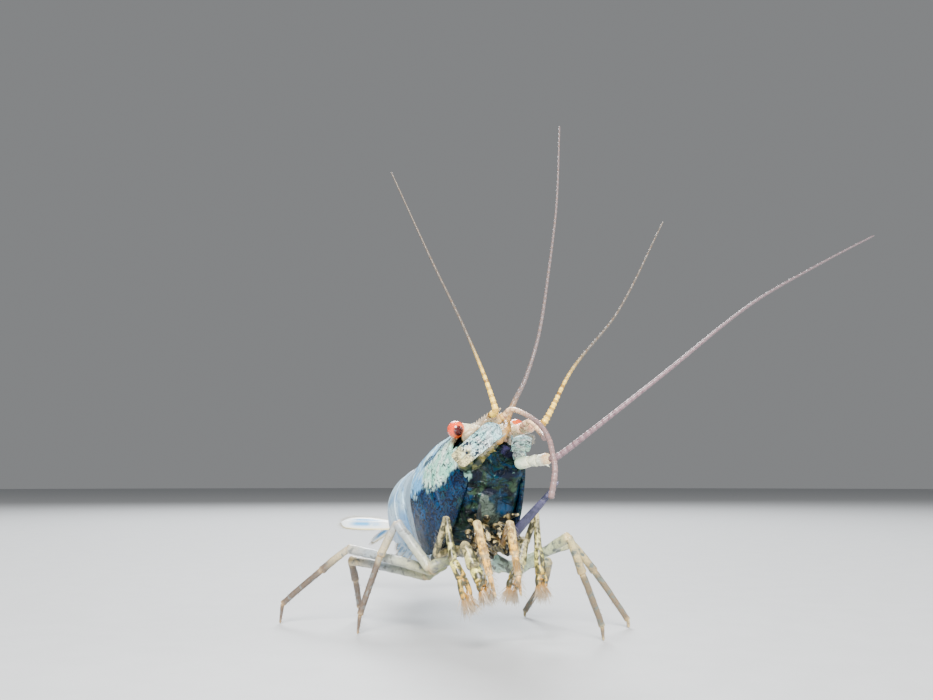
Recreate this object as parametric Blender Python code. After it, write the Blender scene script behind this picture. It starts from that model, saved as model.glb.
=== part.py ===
# A blue bolt shrimp standing on its six walking legs, at life size.
# The head points towards -Y, the animal's right side is -X, and the feet rest on z = 0.
import math

import bmesh
import bpy
import numpy as np
from mathutils import Matrix, Vector

# Lengths are in millimetres until a mesh is written, angles in degrees.
MM = 0.001
GAP = 0.28

# Driving dimensions of the body
CARAPACE_LENGTH = 7.0
ORBIT_HEIGHT = 10.43
SHELL = 0.5
EYE_DIAMETER = 0.9
PLEON_LENGTHS = (1.7, 2.3, 2.3, 1.7, 1.7, 3.2)
PLEON_END = -CARAPACE_LENGTH - sum(PLEON_LENGTHS)
ROSTRUM_START = -1.6
ROSTRUM_TIP = 2.3
ROSTRUM_DEPTH = 0.62
TELSON_LENGTH = 3.7
TELSON_HALF_WIDTH = 0.62
EXOPOD_LENGTH = 4.8
ENDOPOD_LENGTH = 3.7
THIN = 0.5
COLUMNS = 24
SHOULDER = 0.55
TUCK = 0.16

# The body's axis by station s, in mm ahead of the orbit: slope and turn of the way back
SLOPE = ((-20, -8), (-16, -7), (-14, -5), (-12, -5), (-10, -7), (-8, -12), (-7, -19), (-5, -27), (4, -27))
TURN = ((-20, 22), (-18, 20), (-16, 17), (-14, 14), (-12, 11), (-10, 8), (-8, 4), (-7, 0), (4, 0))

# Outline of the body by station: ridge of the back, half width, and lower edge of the shell
RIDGE = ((-20, 0.8), (-17, 1.05), (-15, 1.35), (-13, 1.75), (-11, 2.05), (-9, 2.1), (-7, 2.1),
         (-5, 2.2), (-3.5, 2.0), (-2, 1.6), (-1, 1.3), (0, 0.95), (1, 0.6))
WIDTH = ((-20, 0.85), (-17, 1.0), (-15, 1.2), (-13, 1.5), (-11, 1.8), (-9, 2.0), (-7, 2.1),
         (-6, 2.3), (-4.5, 2.4), (-3, 2.35), (-1.5, 2.2), (0, 1.95), (1, 1.75))
CARAPACE_EDGE = ((-7.4, -1.4), (-7, -1.9), (-6.3, -3.2), (-5.2, -4.1), (-3.8, -4.4), (-2.3, -4.1),
                 (-0.8, -3.3), (0.4, -2.3), (0.9, -1.5))
PLEON_EDGE = ((-20, -0.95), (-17, -1.05), (-16, -1.2), (-14, -1.4), (-12, -1.65), (-10, -1.8),
              (-8.2, -1.95), (-7, -1.9))
CORE_EDGE = ((-7, -2.6), (-6.4, -3.4), (-5.3, -4.05), (-4.2, -4.2), (-2.6, -4.2), (-1.2, -4.1),
             (-0.4, -3.8), (0.2, -3.1), (0.6, -2.2), (1, -1.8))

# Front and rear edge of the carapace by the share of the way from ridge to lower edge
FRONT_EDGE = ((0, 0.1), (0.2, -0.1), (0.36, -0.5), (0.52, 0.05), (0.62, 0.35), (0.85, 0.7), (1, 0.3))
REAR_EDGE = ((0, -7.0), (0.3, -7.25), (0.6, -7.2), (0.8, -6.8), (1, -6.3))

# How far each joint between two rings of the abdomen is moved back at the lower edge
EDGE_SHIFT = (0.0, 0.75, -0.6, -0.2, -0.2, -0.2, 0.0)

# Walking legs: root as station, half spread and height; then length, yaw ahead and lift of each segment
LEG_ROOTS = {3: (-4.3, 1.0, -4.65), 4: (-5.15, 1.0, -4.55), 5: (-6.0, 1.0, -4.35)}
LEG_SEGMENTS = {
    ("right", 3): ((1.43, -24, -24), (3.11, -55, 48), (2.06, -54, -60), (3.42, -49, -69)),
    ("right", 4): ((0.97, -27, -30), (5.94, -59, 9), (2.19, -48, -36), (3.22, -46, -38)),
    ("right", 5): ((1.06, -58, -36), (5.6, -60, 6), (1.68, -124, -48), (1.97, -124, -59)),
    ("left", 3): ((1.78, 30, -29), (3.89, 65, 31), (2.0, 16, -70), (3.3, -24, -58)),
    ("left", 4): ((1.33, 6, -21), (4.4, 7, 17), (2.1, 8, -50), (3.4, 8, -54)),
    ("left", 5): ((1.34, -1, -12), (4.0, -8, 2), (1.7, -74, -44), (2.95, -95, -43)),
}
LEG_RADII = (0.28, 0.3, 0.26, 0.25, 0.15)
CLAW_SLANT = 0.12
FOOT_RADIUS = 0.17

SIDE = {"right": -1, "left": 1}


def curve(table, at):
    """Value of a smooth curve through the table's points."""
    x = [p[0] for p in table]
    y = [p[1] for p in table]
    at = min(max(at, x[0]), x[-1])
    i = min(max(int(np.searchsorted(x, at)), 1), len(x) - 1)
    step = x[i] - x[i - 1]
    u = (at - x[i - 1]) / step
    before = max(i - 2, 0)
    after = min(i + 1, len(x) - 1)
    slope0 = (y[i] - y[before]) / (x[i] - x[before]) * step
    slope1 = (y[after] - y[i - 1]) / (x[after] - x[i - 1]) * step
    return ((2 * u**3 - 3 * u**2 + 1) * y[i - 1] + (u**3 - 2 * u**2 + u) * slope0
            + (3 * u**2 - 2 * u**3) * y[i] + (u**3 - u**2) * slope1)


def heading(station):
    """The way back along the body, the way to its left, and its up."""
    slope = math.radians(curve(SLOPE, station))
    turn = math.radians(curve(TURN, station))
    back = Vector((math.sin(turn) * math.cos(slope), math.cos(turn) * math.cos(slope), math.sin(slope)))
    left = Vector((math.cos(turn), -math.sin(turn), 0))
    return back, left, left.cross(back)


AXIS_STEP = 0.05
AXIS_LENGTH = 26


def axis_points():
    """Points along the body's axis, from the orbit back past the telson."""
    points = [Vector((0, 0, ORBIT_HEIGHT))]
    for i in range(int(AXIS_LENGTH / AXIS_STEP)):
        points.append(points[-1] + heading(-(i + 0.5) * AXIS_STEP)[0] * AXIS_STEP)
    return points


AXIS = axis_points()


def body(x, station, height):
    """World point at a station of the body, x to its left and a height over its axis."""
    back, left, up = heading(station)
    if station >= 0:
        centre = AXIS[0] - back * station
    else:
        whole = min(int(-station / AXIS_STEP), len(AXIS) - 2)
        centre = AXIS[whole].lerp(AXIS[whole + 1], -station / AXIS_STEP - whole)
    return centre + left * x + up * height


def outline(half_width, ridge, edge, q):
    """Point of a cross-section: q runs from -1 at the right lower edge over the back to 1."""
    share = abs(q)
    shoulder_height = ridge - SHOULDER * (ridge - edge)
    if share < SHOULDER:
        angle = share / SHOULDER * math.pi / 2
        x = half_width * math.sin(angle)
        height = shoulder_height + (ridge - shoulder_height) * math.cos(angle) ** 1.15
    else:
        down = (share - SHOULDER) / (1 - SHOULDER)
        x = half_width * (1 - TUCK * down * down)
        height = shoulder_height + (edge - shoulder_height) * down
    return math.copysign(x, q), height


def material(name, colour, roughness=0.4, metallic=0.0):
    """A plain material with one Principled shader."""
    finish = bpy.data.materials.new(name)
    finish.use_nodes = True
    shader = finish.node_tree.nodes["Principled BSDF"]
    shader.inputs["Base Color"].default_value = (*colour, 1)
    shader.inputs["Roughness"].default_value = roughness
    shader.inputs["Metallic"].default_value = metallic
    return finish


def finish_mesh(name, bm, finish):
    """Write a closed bmesh in millimetres as a smooth object in metres."""
    bmesh.ops.recalc_face_normals(bm, faces=bm.faces)
    bmesh.ops.scale(bm, vec=(MM, MM, MM), verts=bm.verts)
    mesh = bpy.data.meshes.new(name)
    bm.to_mesh(mesh)
    bm.free()
    mesh.materials.append(finish)
    mesh.shade_smooth()
    mesh.set_sharp_from_angle(angle=math.radians(50))
    thing = bpy.data.objects.new(name, mesh)
    bpy.context.scene.collection.objects.link(thing)
    thing.parent = BODY
    return thing


def start_ring(bm, points):
    """A first ring of a loft, closed by a fan of faces."""
    ring = [bm.verts.new(p) for p in points]
    bmesh.ops.poke(bm, faces=[bm.faces.new(ring)])
    return ring


def next_ring(bm, ring, points):
    """Pull a ring out to new points and give the ring that it made."""
    edges = [bm.edges.get((ring[i - 1], ring[i])) for i in range(len(ring))]
    made = bmesh.ops.extrude_edge_only(bm, edges=edges)["geom"]
    new = {v for v in made if isinstance(v, bmesh.types.BMVert)}
    fresh = [next(e.other_vert(v) for e in v.link_edges if e.other_vert(v) in new) for v in ring]
    for vert, point in zip(fresh, points):
        vert.co = point
    return fresh


def loft(bm, rings):
    """One closed surface through rings of points."""
    ring = start_ring(bm, rings[0])
    for points in rings[1:]:
        ring = next_ring(bm, ring, points)
    bmesh.ops.poke(bm, faces=[bm.faces.new(ring)])


def ring_round(centre, along, across, half_width, half_height, sides):
    """An ellipse of points, square to the way along."""
    along = along.normalized()
    lift = (across - along * across.dot(along)).normalized()
    side = along.cross(lift)
    points = []
    for i in range(sides):
        angle = 2 * math.pi * (i + 0.5) / sides
        points.append(centre + side * half_width * math.cos(angle) + lift * half_height * math.sin(angle))
    return points


def tube_rings(path, sizes, across, sides=8):
    """Rings along a path: each size is a radius, or a half width and half height."""
    rings = []
    for i, point in enumerate(path):
        before = path[max(i - 1, 0)]
        after = path[min(i + 1, len(path) - 1)]
        wide, high = sizes[i] if isinstance(sizes[i], tuple) else (sizes[i], sizes[i])
        halfway = (point - before).normalized() + (after - point).normalized()
        rings.append(ring_round(point, halfway, across, wide, high, sides))
    return rings


def way(side, yaw, lift):
    """Unit vector that points outward on one side, turned ahead by yaw and up by lift."""
    yaw = math.radians(yaw)
    lift = math.radians(lift)
    return Vector((SIDE[side] * math.cos(yaw) * math.cos(lift), -math.sin(yaw) * math.cos(lift), math.sin(lift)))


def clear_of_bend(points, i, radius):
    """How far from a joint a limb's ring has to stay so that the folded walls don't cross."""
    if i == 0 or i == len(points) - 1:
        return 0
    turn = (points[i] - points[i - 1]).angle(points[i + 1] - points[i])
    return radius * math.tan(turn / 2) * 1.15


def jointed(points, radii):
    """Path and radii of a limb whose segments swell a little at their joints."""
    path = [points[0]]
    sizes = [radii[0]]
    for i in range(len(points) - 1):
        near, far = points[i], points[i + 1]
        reach = (far - near).length
        start = min(max(0.14, clear_of_bend(points, i, radii[i]) / reach), 0.46)
        stop = min(max(0.16, clear_of_bend(points, i + 1, radii[i + 1]) / reach), 0.46)
        path += [near.lerp(far, start), near.lerp(far, 1 - stop), far]
        sizes += [radii[i] * 0.94, radii[i + 1] * 0.92, radii[i + 1] * 1.04]
    return path, sizes


def carapace(finish):
    """The shield over head and chest, an arched sheet thickened inwards, with its rostrum."""
    bm = bmesh.new()
    rows = 14
    bmesh.ops.create_grid(bm, x_segments=COLUMNS, y_segments=rows, size=1)
    for vert in bm.verts:
        q = vert.co.x
        share = abs(q)
        along = (vert.co.y + 1) / 2
        station = curve(REAR_EDGE, share) * (1 - along) + curve(FRONT_EDGE, share) * along
        x, height = outline(curve(WIDTH, station), curve(RIDGE, station), curve(CARAPACE_EDGE, station), q)
        vert.co = body(x, station, height)
    bmesh.ops.scale(bm, vec=(MM, MM, MM), verts=bm.verts)
    bmesh.ops.reverse_faces(bm, faces=bm.faces)
    mesh = bpy.data.meshes.new("carapace")
    bm.to_mesh(mesh)
    bm.free()
    mesh.materials.append(finish)
    mesh.shade_smooth()
    shield = bpy.data.objects.new("carapace", mesh)
    bpy.context.scene.collection.objects.link(shield)
    shield.parent = BODY
    thicken = shield.modifiers.new("Shell", "SOLIDIFY")
    thicken.thickness = SHELL * MM
    thicken.offset = -1
    fuse(shield, [rostrum(finish)] + rostrum_teeth(finish) + front_spines(finish))
    return shield


def thorn(name, root, tip, radius, finish):
    """A sharp four-sided spine from a sunken root to its tip."""
    path = [root, root.lerp(tip, 0.55), tip]
    bm = bmesh.new()
    loft(bm, tube_rings(path, [radius, radius * 0.62, radius * 0.12], Vector((1, 0, 0.3)), 4))
    return finish_mesh(name, bm, finish)


ROSTRUM_TEETH = 9
TOOTH_HEIGHT = 0.3


def rostrum_teeth(finish):
    """Saw teeth that lean ahead, along the upper edge of the rostrum."""
    teeth = []
    for i in range(ROSTRUM_TEETH):
        station = ROSTRUM_START + 0.35 + i * (ROSTRUM_TIP - ROSTRUM_START - 0.9) / (ROSTRUM_TEETH - 1)
        size = TOOTH_HEIGHT * (1 - 0.45 * i / ROSTRUM_TEETH)
        root = body(0, station, rostrum_top(station) - 0.18)
        tip = body(0, station + size * 0.75, rostrum_top(station + size * 0.75) + size * 0.55)
        teeth.append(thorn("tooth", root, tip, size * 0.42, finish))
    return teeth


# Spines of the carapace's front edge: share of the way down, station of the root, length, radius
FRONT_SPINES = ((0.48, -0.35, 0.75, 0.16), (0.93, 0.2, 0.6, 0.16))


def front_spines(finish):
    """The spine under each eye and the one at the lower front corner."""
    spines = []
    for side in SIDE:
        for share, station, length, radius in FRONT_SPINES:
            x, height = outline(curve(WIDTH, station), curve(RIDGE, station), curve(CARAPACE_EDGE, station),
                                SIDE[side] * share)
            inward = 1 - SHELL / 2 / curve(WIDTH, station)
            root = body(x * inward, station, height * inward)
            tip = body(x * inward, station + length, height * inward)
            spines.append(thorn("spine", root, tip, radius, finish))
    return spines


def rostrum(finish):
    """The blade between the eyes, rooted in the front of the back's ridge."""
    rings = []
    count = 8
    for i in range(count + 1):
        u = i / count
        station = ROSTRUM_START + (ROSTRUM_TIP - ROSTRUM_START) * u
        top = rostrum_top(station)
        depth = ROSTRUM_DEPTH * (1 - u) ** 0.6 + 0.14
        half = THIN / 2 * (1 - u) ** 0.5 + 0.05
        rings.append([body(x, station, top - depth * down)
                      for x, down in ((0, 0), (half, 0.35), (half, 0.7), (0, 1), (-half, 0.7), (-half, 0.35))])
    bm = bmesh.new()
    loft(bm, rings)
    return finish_mesh("rostrum", bm, finish)


def rostrum_top(station):
    """Height of the rostrum's upper edge, which leaves the ridge and dips ahead."""
    ahead = max(station + 0.6, 0)
    return curve(RIDGE, min(station, -0.6)) + 0.12 - 0.17 * ahead - 0.03 * ahead * ahead


def fuse(main, extras):
    """Join extra closed objects to the main one and keep its largest closed surface."""
    group = bpy.data.collections.new("extras")
    bpy.context.scene.collection.children.link(group)
    for thing in extras:
        thing.parent = None
        group.objects.link(thing)
    union = main.modifiers.new("Union", "BOOLEAN")
    union.operation = "UNION"
    union.operand_type = "COLLECTION"
    union.collection = group
    union.solver = "EXACT"
    graph = bpy.context.evaluated_depsgraph_get()
    graph.update()
    joined = bpy.data.meshes.new_from_object(main.evaluated_get(graph))
    main.modifiers.clear()
    main.data = joined
    for thing in list(group.objects):
        bpy.data.objects.remove(thing, do_unlink=True)
    bpy.data.collections.remove(group)
    keep_largest(joined)
    joined.shade_smooth()
    joined.set_sharp_from_angle(angle=math.radians(50))


def keep_largest(mesh):
    """Drop all but the largest closed surface of a mesh."""
    bm = bmesh.new()
    bm.from_mesh(mesh)
    left = set(bm.faces)
    islands = []
    while left:
        island = {left.pop()}
        edge_of_search = list(island)
        while edge_of_search:
            face = edge_of_search.pop()
            near = {f for e in face.edges for f in e.link_faces} - island
            island |= near
            edge_of_search += near
        left -= island
        islands.append(island)
    islands.sort(key=lambda faces: sum(f.calc_area() for f in faces))
    for island in islands[:-1]:
        bmesh.ops.delete(bm, geom=list(island), context="FACES")
    loose = [v for v in bm.verts if not v.link_faces]
    bmesh.ops.delete(bm, geom=loose, context="VERTS")
    bm.to_mesh(mesh)
    bm.free()


def thorax(finish):
    """The flesh inside the shield, from the face to the last plate of the underside."""
    rings = []
    stations = (-6.7, -6.2, -5.2, -4.0, -2.8, -1.6, -0.7, -0.1, 0.3, 0.6)
    for station in stations:
        half = curve(WIDTH, station) - SHELL - GAP - 0.02
        ridge = curve(RIDGE, station) - SHELL - GAP - 0.1
        edge = curve(CORE_EDGE, station)
        trim = 0.8 if station in (stations[0], stations[-1]) else 1
        middle = (ridge + edge) / 2
        points = []
        for i in range(COLUMNS - 5):
            q = -1 + 2 * i / (COLUMNS - 6)
            x, height = outline(half, ridge, edge, q)
            down = max(abs(q) - SHOULDER, 0) / (1 - SHOULDER)
            x *= 1 - 0.2 * down
            points.append(body(x * trim, station, middle + (height - middle) * trim))
        rings.append(points)
    bm = bmesh.new()
    loft(bm, rings)
    return finish_mesh("thorax", bm, finish)


def pleon_edge_station(joint, share):
    """Station of a joint of the abdomen at a share of the way down its side."""
    base = -CARAPACE_LENGTH - sum(PLEON_LENGTHS[:joint])
    if joint == 0:
        return min(curve(REAR_EDGE, min(share, 0.6)), base) - 0.05 * share
    return base + EDGE_SHIFT[joint] * share * share


def pleon_ring(number, finish):
    """One ring of the abdomen: an arched plate with side flaps over a shallow belly."""
    rings = []
    rows = 4
    columns = 16
    for row in range(rows + 1):
        u = row / rows
        flare = 0.95 + 0.08 * u
        points = []
        for i in range(columns + 1):
            q = -1 + 2 * i / columns
            share = abs(q)
            front = pleon_edge_station(number - 1, share) - GAP / 2 * (2 if number == 1 else 1)
            rear = pleon_edge_station(number, share) + GAP / 2
            station = front + (rear - front) * u
            edge = curve(PLEON_EDGE, station) - 0.35 * math.sin(math.pi * u) * share**4
            x, height = outline(curve(WIDTH, station), curve(RIDGE, station), edge, q)
            points.append(body(x * flare, station, height * flare))
        for x_share in (0.55, 0.35, -0.35, -0.55):
            rise = 0.1 if abs(x_share) > 0.5 else 0.5
            front = pleon_edge_station(number - 1, 0.7) - GAP / 2 * (2 if number == 1 else 1)
            rear = pleon_edge_station(number, 0.7) + GAP / 2
            station = front + (rear - front) * u
            half = curve(WIDTH, station)
            points.append(body(half * x_share, station, (curve(PLEON_EDGE, station) + rise) * flare))
        rings.append(points)
    bm = bmesh.new()
    loft(bm, rings)
    return finish_mesh("pleon_%d" % number, bm, finish)


def paddle_rings(root, along, up, length, half_width, thickness, rows=7):
    """Rings of a leaf-shaped blade, rounded at its tip."""
    along = along.normalized()
    side = along.cross(up).normalized()
    lift = side.cross(along)
    rings = []
    for i in range(rows + 1):
        u = i / rows
        wide = half_width * (0.5 + 0.95 * u - 0.8 * u**3) if u < 1 else half_width * 0.3
        high = thickness / 2 * (1 - 0.35 * u)
        centre = root + along * length * u
        rings.append([centre + side * wide * x + lift * high * z for x, z in
                      ((1, 0.25), (0.55, 1), (-0.55, 1), (-1, 0.25), (-1, -0.25), (-0.55, -1), (0.55, -1), (1, -0.25))])
    return rings


def telson(finish):
    """The middle plate of the tail, broad at its root and tapered back."""
    rings = []
    rows = 6
    start = PLEON_END - GAP
    for i in range(rows + 1):
        u = i / rows
        wide = TELSON_HALF_WIDTH - 0.3 * u - (0.12 if i == rows else 0)
        low, high = 0.08, 0.72 - 0.16 * u
        station = start - TELSON_LENGTH * u
        rings.append([body(x * wide, station, h) for x, h in
                      ((1, low + 0.14), (0.6, high), (-0.6, high), (-1, low + 0.14), (-0.7, low), (0.7, low))])
    bm = bmesh.new()
    loft(bm, rings)
    return finish_mesh("telson", bm, finish)


# Blades of the tail fan: spread and lift, roll about the blade's length, length and half width
FAN = {"exopod": (62, 5, 52, EXOPOD_LENGTH, 0.68), "endopod": (32, -14, 58, ENDOPOD_LENGTH, 0.5)}


def uropod(side, finish):
    """One side of the tail fan: a short root that carries two paddles."""
    back, left, up = heading(PLEON_END)
    out = left * SIDE[side]
    root = body(SIDE[side] * 0.5, PLEON_END - GAP, -0.42)
    hub = root + back * 0.5 + out * 0.12
    bm = bmesh.new()
    loft(bm, tube_rings([root, root + back * 0.3, hub], [(0.27, 0.26), (0.3, 0.27), (0.24, 0.25)], up))
    base = finish_mesh("uropods_" + side, bm, finish)
    blades = []
    for blade, (spread, lift, roll, length, half_width) in FAN.items():
        spread = math.radians(spread)
        lift = math.radians(lift)
        along = (back * math.cos(spread) + out * math.sin(spread)) * math.cos(lift) + up * math.sin(lift)
        bm = bmesh.new()
        facing = Matrix.Rotation(math.radians(SIDE[side] * roll), 3, along) @ up
        loft(bm, paddle_rings(hub - along * 0.1, along, facing, length, half_width, THIN))
        blades.append(finish_mesh(blade, bm, finish))
    fuse(base, blades)
    return base


EYE = {"right": (-1.68, 0.25, 0.35), "left": (1.85, 0.3, 0.55)}
STALK_ROOT = (0.55, 0.62, 0.3)


def eye(side, finish):
    """A round eye at the end of its stalk."""
    bm = bmesh.new()
    bmesh.ops.create_uvsphere(bm, u_segments=14, v_segments=9, radius=EYE_DIAMETER / 2)
    bmesh.ops.translate(bm, vec=body(*EYE[side]), verts=bm.verts)
    return finish_mesh("eye_" + side, bm, finish)


def eyestalk(side, finish):
    """The short stalk that carries an eye, from beside the rostrum's root."""
    x, station, height = STALK_ROOT
    root = body(SIDE[side] * x, station, height)
    centre = body(*EYE[side])
    end = centre + (root - centre).normalized() * (EYE_DIAMETER / 2 + GAP)
    bm = bmesh.new()
    loft(bm, tube_rings([root, root.lerp(end, 0.5), end], [0.22, 0.26, 0.34], Vector((0, 0, 1))))
    return finish_mesh("eyestalk_" + side, bm, finish)


ANTENNULE = {"right": ((-0.75, 1.0, -0.4), (-0.6, 2.65, -0.3)), "left": ((0.95, 1.0, -0.3), (1.2, 2.65, -0.7))}
ANTENNA_BASE = {"right": ((-1.2, 0.75, -1.85), (-0.65, 2.0, -1.4)), "left": ((1.25, 1.05, -1.95), (1.95, 2.3, -2.4))}
ANTENNULE_RADII = (0.3, 0.3, 0.28, 0.26)
ANTENNULE_END_WIDTH = 2.1
ANTENNA_BASE_RADII = (0.32, 0.3, 0.28, 0.27)


def stub(name, ends, radii, end_width, finish):
    """A short stout limb between two places on the body's own axes, with a widened end."""
    root, tip = (body(*place) for place in ends)
    points = [root, root.lerp(tip, 0.45), root.lerp(tip, 0.75), tip]
    path, sizes = jointed(points, radii)
    reach = (tip - root).length
    wide = [1 + (end_width - 1) * ((p - root).length / reach) ** 4 for p in path]
    bm = bmesh.new()
    loft(bm, tube_rings(path, [(size * w, size) for size, w in zip(sizes, wide)], Vector((0, 0, 1))))
    return finish_mesh(name, bm, finish)


SCALE = {"right": ((-2.25, 1.05, -1.78), (-1.17, 3.75, -1.35)), "left": ((1.12, 1.4, -1.38), (0.38, 3.1, -1.52))}
SCALE_ROLL = {"right": -40, "left": -10}
SCALE_HALF_WIDTH = 0.62


def antenna_scale(side, finish):
    """The leaf-shaped plate beside each long antenna."""
    root, tip = (body(*place) for place in SCALE[side])
    up = heading(0)[2]
    tilt = Matrix.Rotation(math.radians(SCALE_ROLL[side]), 3, tip - root)
    bm = bmesh.new()
    loft(bm, paddle_rings(root, tip - root, tilt @ up, (tip - root).length, SCALE_HALF_WIDTH, THIN))
    return finish_mesh("antenna_scale_" + side, bm, finish)


# Routes of the feelers, by hand, in mm: x to the left of the head, y back from the orbit, z over the floor
FEELERS = {
    "antennule_outer_right": ((-1.6, -1.6, 15.3), (-3.4, -0.6, 19.7), (-5.1, 0.8, 24.5)),
    "antennule_outer_left": ((2.9, -4.1, 13.8), (4.9, -5.3, 16.7), (6.9, -6.6, 21.3)),
    "antennule_inner_right": ((0.0, -3.9, 11.6), (0.33, -5.19, 10.95), (0.34, -6.08, 10.19), (0.21, -6.57, 9.62),
                              (0.12, -6.97, 8.75), (-0.11, -6.97, 7.45)),
    "antennule_inner_left": ((1.2, -3.6, 10.75), (1.05, -4.2, 10.5), (0.86, -4.8, 10.3)),
}
FEELER_ROOTS = {"outer": 0.39, "inner": -0.39}
FEELER_START = 0.5
FEELER_TIP = 0.35
FEELER_THICKNESS = THIN - 0.02


def smooth_route(points, spacing):
    """Evenly spaced points on a smooth curve through hand-set ones."""
    knots = [0.0]
    for a, b in zip(points, points[1:]):
        knots.append(knots[-1] + (b - a).length)
    count = max(int(knots[-1] / spacing), 3)
    axes = [tuple(zip(knots, (p[i] for p in points))) for i in range(3)]
    return [Vector([curve(axis, knots[-1] * n / count) for axis in axes]) for n in range(count + 1)]


def feeler(name, route, thickness, taper, finish):
    """A whip-like feeler: a tapered round cord with filled ends."""
    data = bpy.data.curves.new(name, "CURVE")
    data.dimensions = "3D"
    data.bevel_depth = thickness / 2 * MM
    data.bevel_resolution = 1
    data.use_fill_caps = True
    data.resolution_u = 1
    spline = data.splines.new("POLY")
    spline.points.add(len(route) - 1)
    for i, point in enumerate(route):
        spline.points[i].co = (*(point * MM), 1)
        spline.points[i].radius = taper(i / (len(route) - 1))
    data.materials.append(finish)
    thing = bpy.data.objects.new(name, data)
    bpy.context.scene.collection.objects.link(thing)
    thing.parent = BODY
    return thing


def antennule_feelers(finish):
    """Two whips on each antennule, side by side at its end."""
    for side in SIDE:
        root, tip = (body(*place) for place in ANTENNULE[side])
        ahead = (tip - root).normalized()
        for whip, offset in FEELER_ROOTS.items():
            name = "antennule_%s_%s" % (whip, side)
            start = tip + ahead * GAP + heading(0)[1] * offset * SIDE[side]
            points = [start, start + ahead * FEELER_START] + [Vector(p) for p in FEELERS[name]]
            feeler(name, smooth_route(points, 0.9), FEELER_THICKNESS,
                   lambda u: 1 if u < 0.8 else 1 - (u - 0.8) / 0.2 * (1 - FEELER_TIP), finish)


ANTENNA_ROUTES = {
    "right": ((0.05, -2.43, 10.83), (0.35, -1.85, 11.2), (0.65, -1.6, 11.7), (1.03, -1.5, 12.4),
              (1.73, -1.32, 13.5), (2.76, -1.0, 16.0), (4.2, 0.3, 20.0), (5.6, 1.7, 24.4), (6.8, 3.2, 30.0)),
    "left": ((3.9, -4.9, 11.0), (7.0, -6.2, 13.6), (11.2, -7.8, 17.1), (14.8, -9.0, 19.3), (17.9, -10.0, 21.0)),
}
ANTENNA_SPLIT = 0.45


def antennae(finish):
    """The two long second antennae, each in two lengths."""
    for side, places in ANTENNA_ROUTES.items():
        root, tip = (body(*place) for place in ANTENNA_BASE[side])
        start = tip + (tip - root).normalized() * GAP
        route = smooth_route([start, start + (tip - root).normalized() * 0.3] + [Vector(p) for p in places], 0.6)
        split = int(len(route) * ANTENNA_SPLIT)
        near = route[: split + 1]
        far = route[split:]
        far[0] = far[0] + (far[1] - far[0]).normalized() * GAP
        feeler("antenna_%s_near" % side, near, THIN, lambda u: 1.0, finish)
        feeler("antenna_%s_far" % side, far, THIN,
               lambda u: 1 if u < 0.7 else 1 - (u - 0.7) / 0.3 * (1 - FEELER_TIP), finish)


def leg(side, number, upper_finish, lower_finish):
    """A walking leg in two nodes: the part above the knee, and the shin down to its foot."""
    station, spread, height = LEG_ROOTS[number]
    points = [body(SIDE[side] * spread, station, height)]
    for length, yaw, lift in LEG_SEGMENTS[side, number]:
        points.append(points[-1] + way(side, yaw, lift) * length)
    last = (points[-1] - points[-2]).to_2d().normalized() * points[-1].z * CLAW_SLANT
    foot = Vector((points[-1].x + last.x, points[-1].y + last.y, 0))
    ischium, merus, carpus, propodus, dactyl = LEG_RADII
    path, sizes = jointed(points[:3], (ischium, merus, carpus + 0.02))
    bm = bmesh.new()
    loft(bm, tube_rings(path, sizes, Vector((0, 0, 1))))
    finish_mesh("leg_%d_upper_%s" % (number, side), bm, upper_finish)
    before = (points[2] - points[1]).normalized()
    after = (points[3] - points[2]).normalized()
    bend = math.acos(max(min(before.dot(after), 1), -1))
    knee = points[2] + (before + after).normalized() * (GAP + carpus * math.sin(bend)) + before * 0.04
    path, sizes = jointed([knee, points[3], points[4]], (carpus, propodus, propodus * 0.9))
    rings = tube_rings(path, sizes, Vector((0, 0, 1)))
    claw = [points[4].lerp(foot, 0.35), points[4].lerp(foot, 0.8)]
    rings += tube_rings(claw, [dactyl + 0.06, dactyl], Vector((0, 1, 0)))
    rings += [ring_round(foot, Vector((0, 0, -1)), Vector((0, 1, 0)), FOOT_RADIUS, FOOT_RADIUS, 8)]
    bm = bmesh.new()
    loft(bm, align(rings))
    finish_mesh("leg_%d_lower_%s" % (number, side), bm, lower_finish)


def align(rings):
    """Turn each ring so that its first point follows on from the ring before."""
    fixed = [rings[0]]
    for ring in rings[1:]:
        last = fixed[-1]
        shift = ring_centre(last) - ring_centre(ring)
        best = min(range(len(ring)), key=lambda k: sum(
            (ring[(i + k) % len(ring)] + shift - last[i]).length for i in range(len(ring))))
        fixed.append([ring[(i + best) % len(ring)] for i in range(len(ring))])
    return fixed


def ring_centre(ring):
    """Middle of a ring of points."""
    return sum(ring, Vector()) / len(ring)


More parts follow.
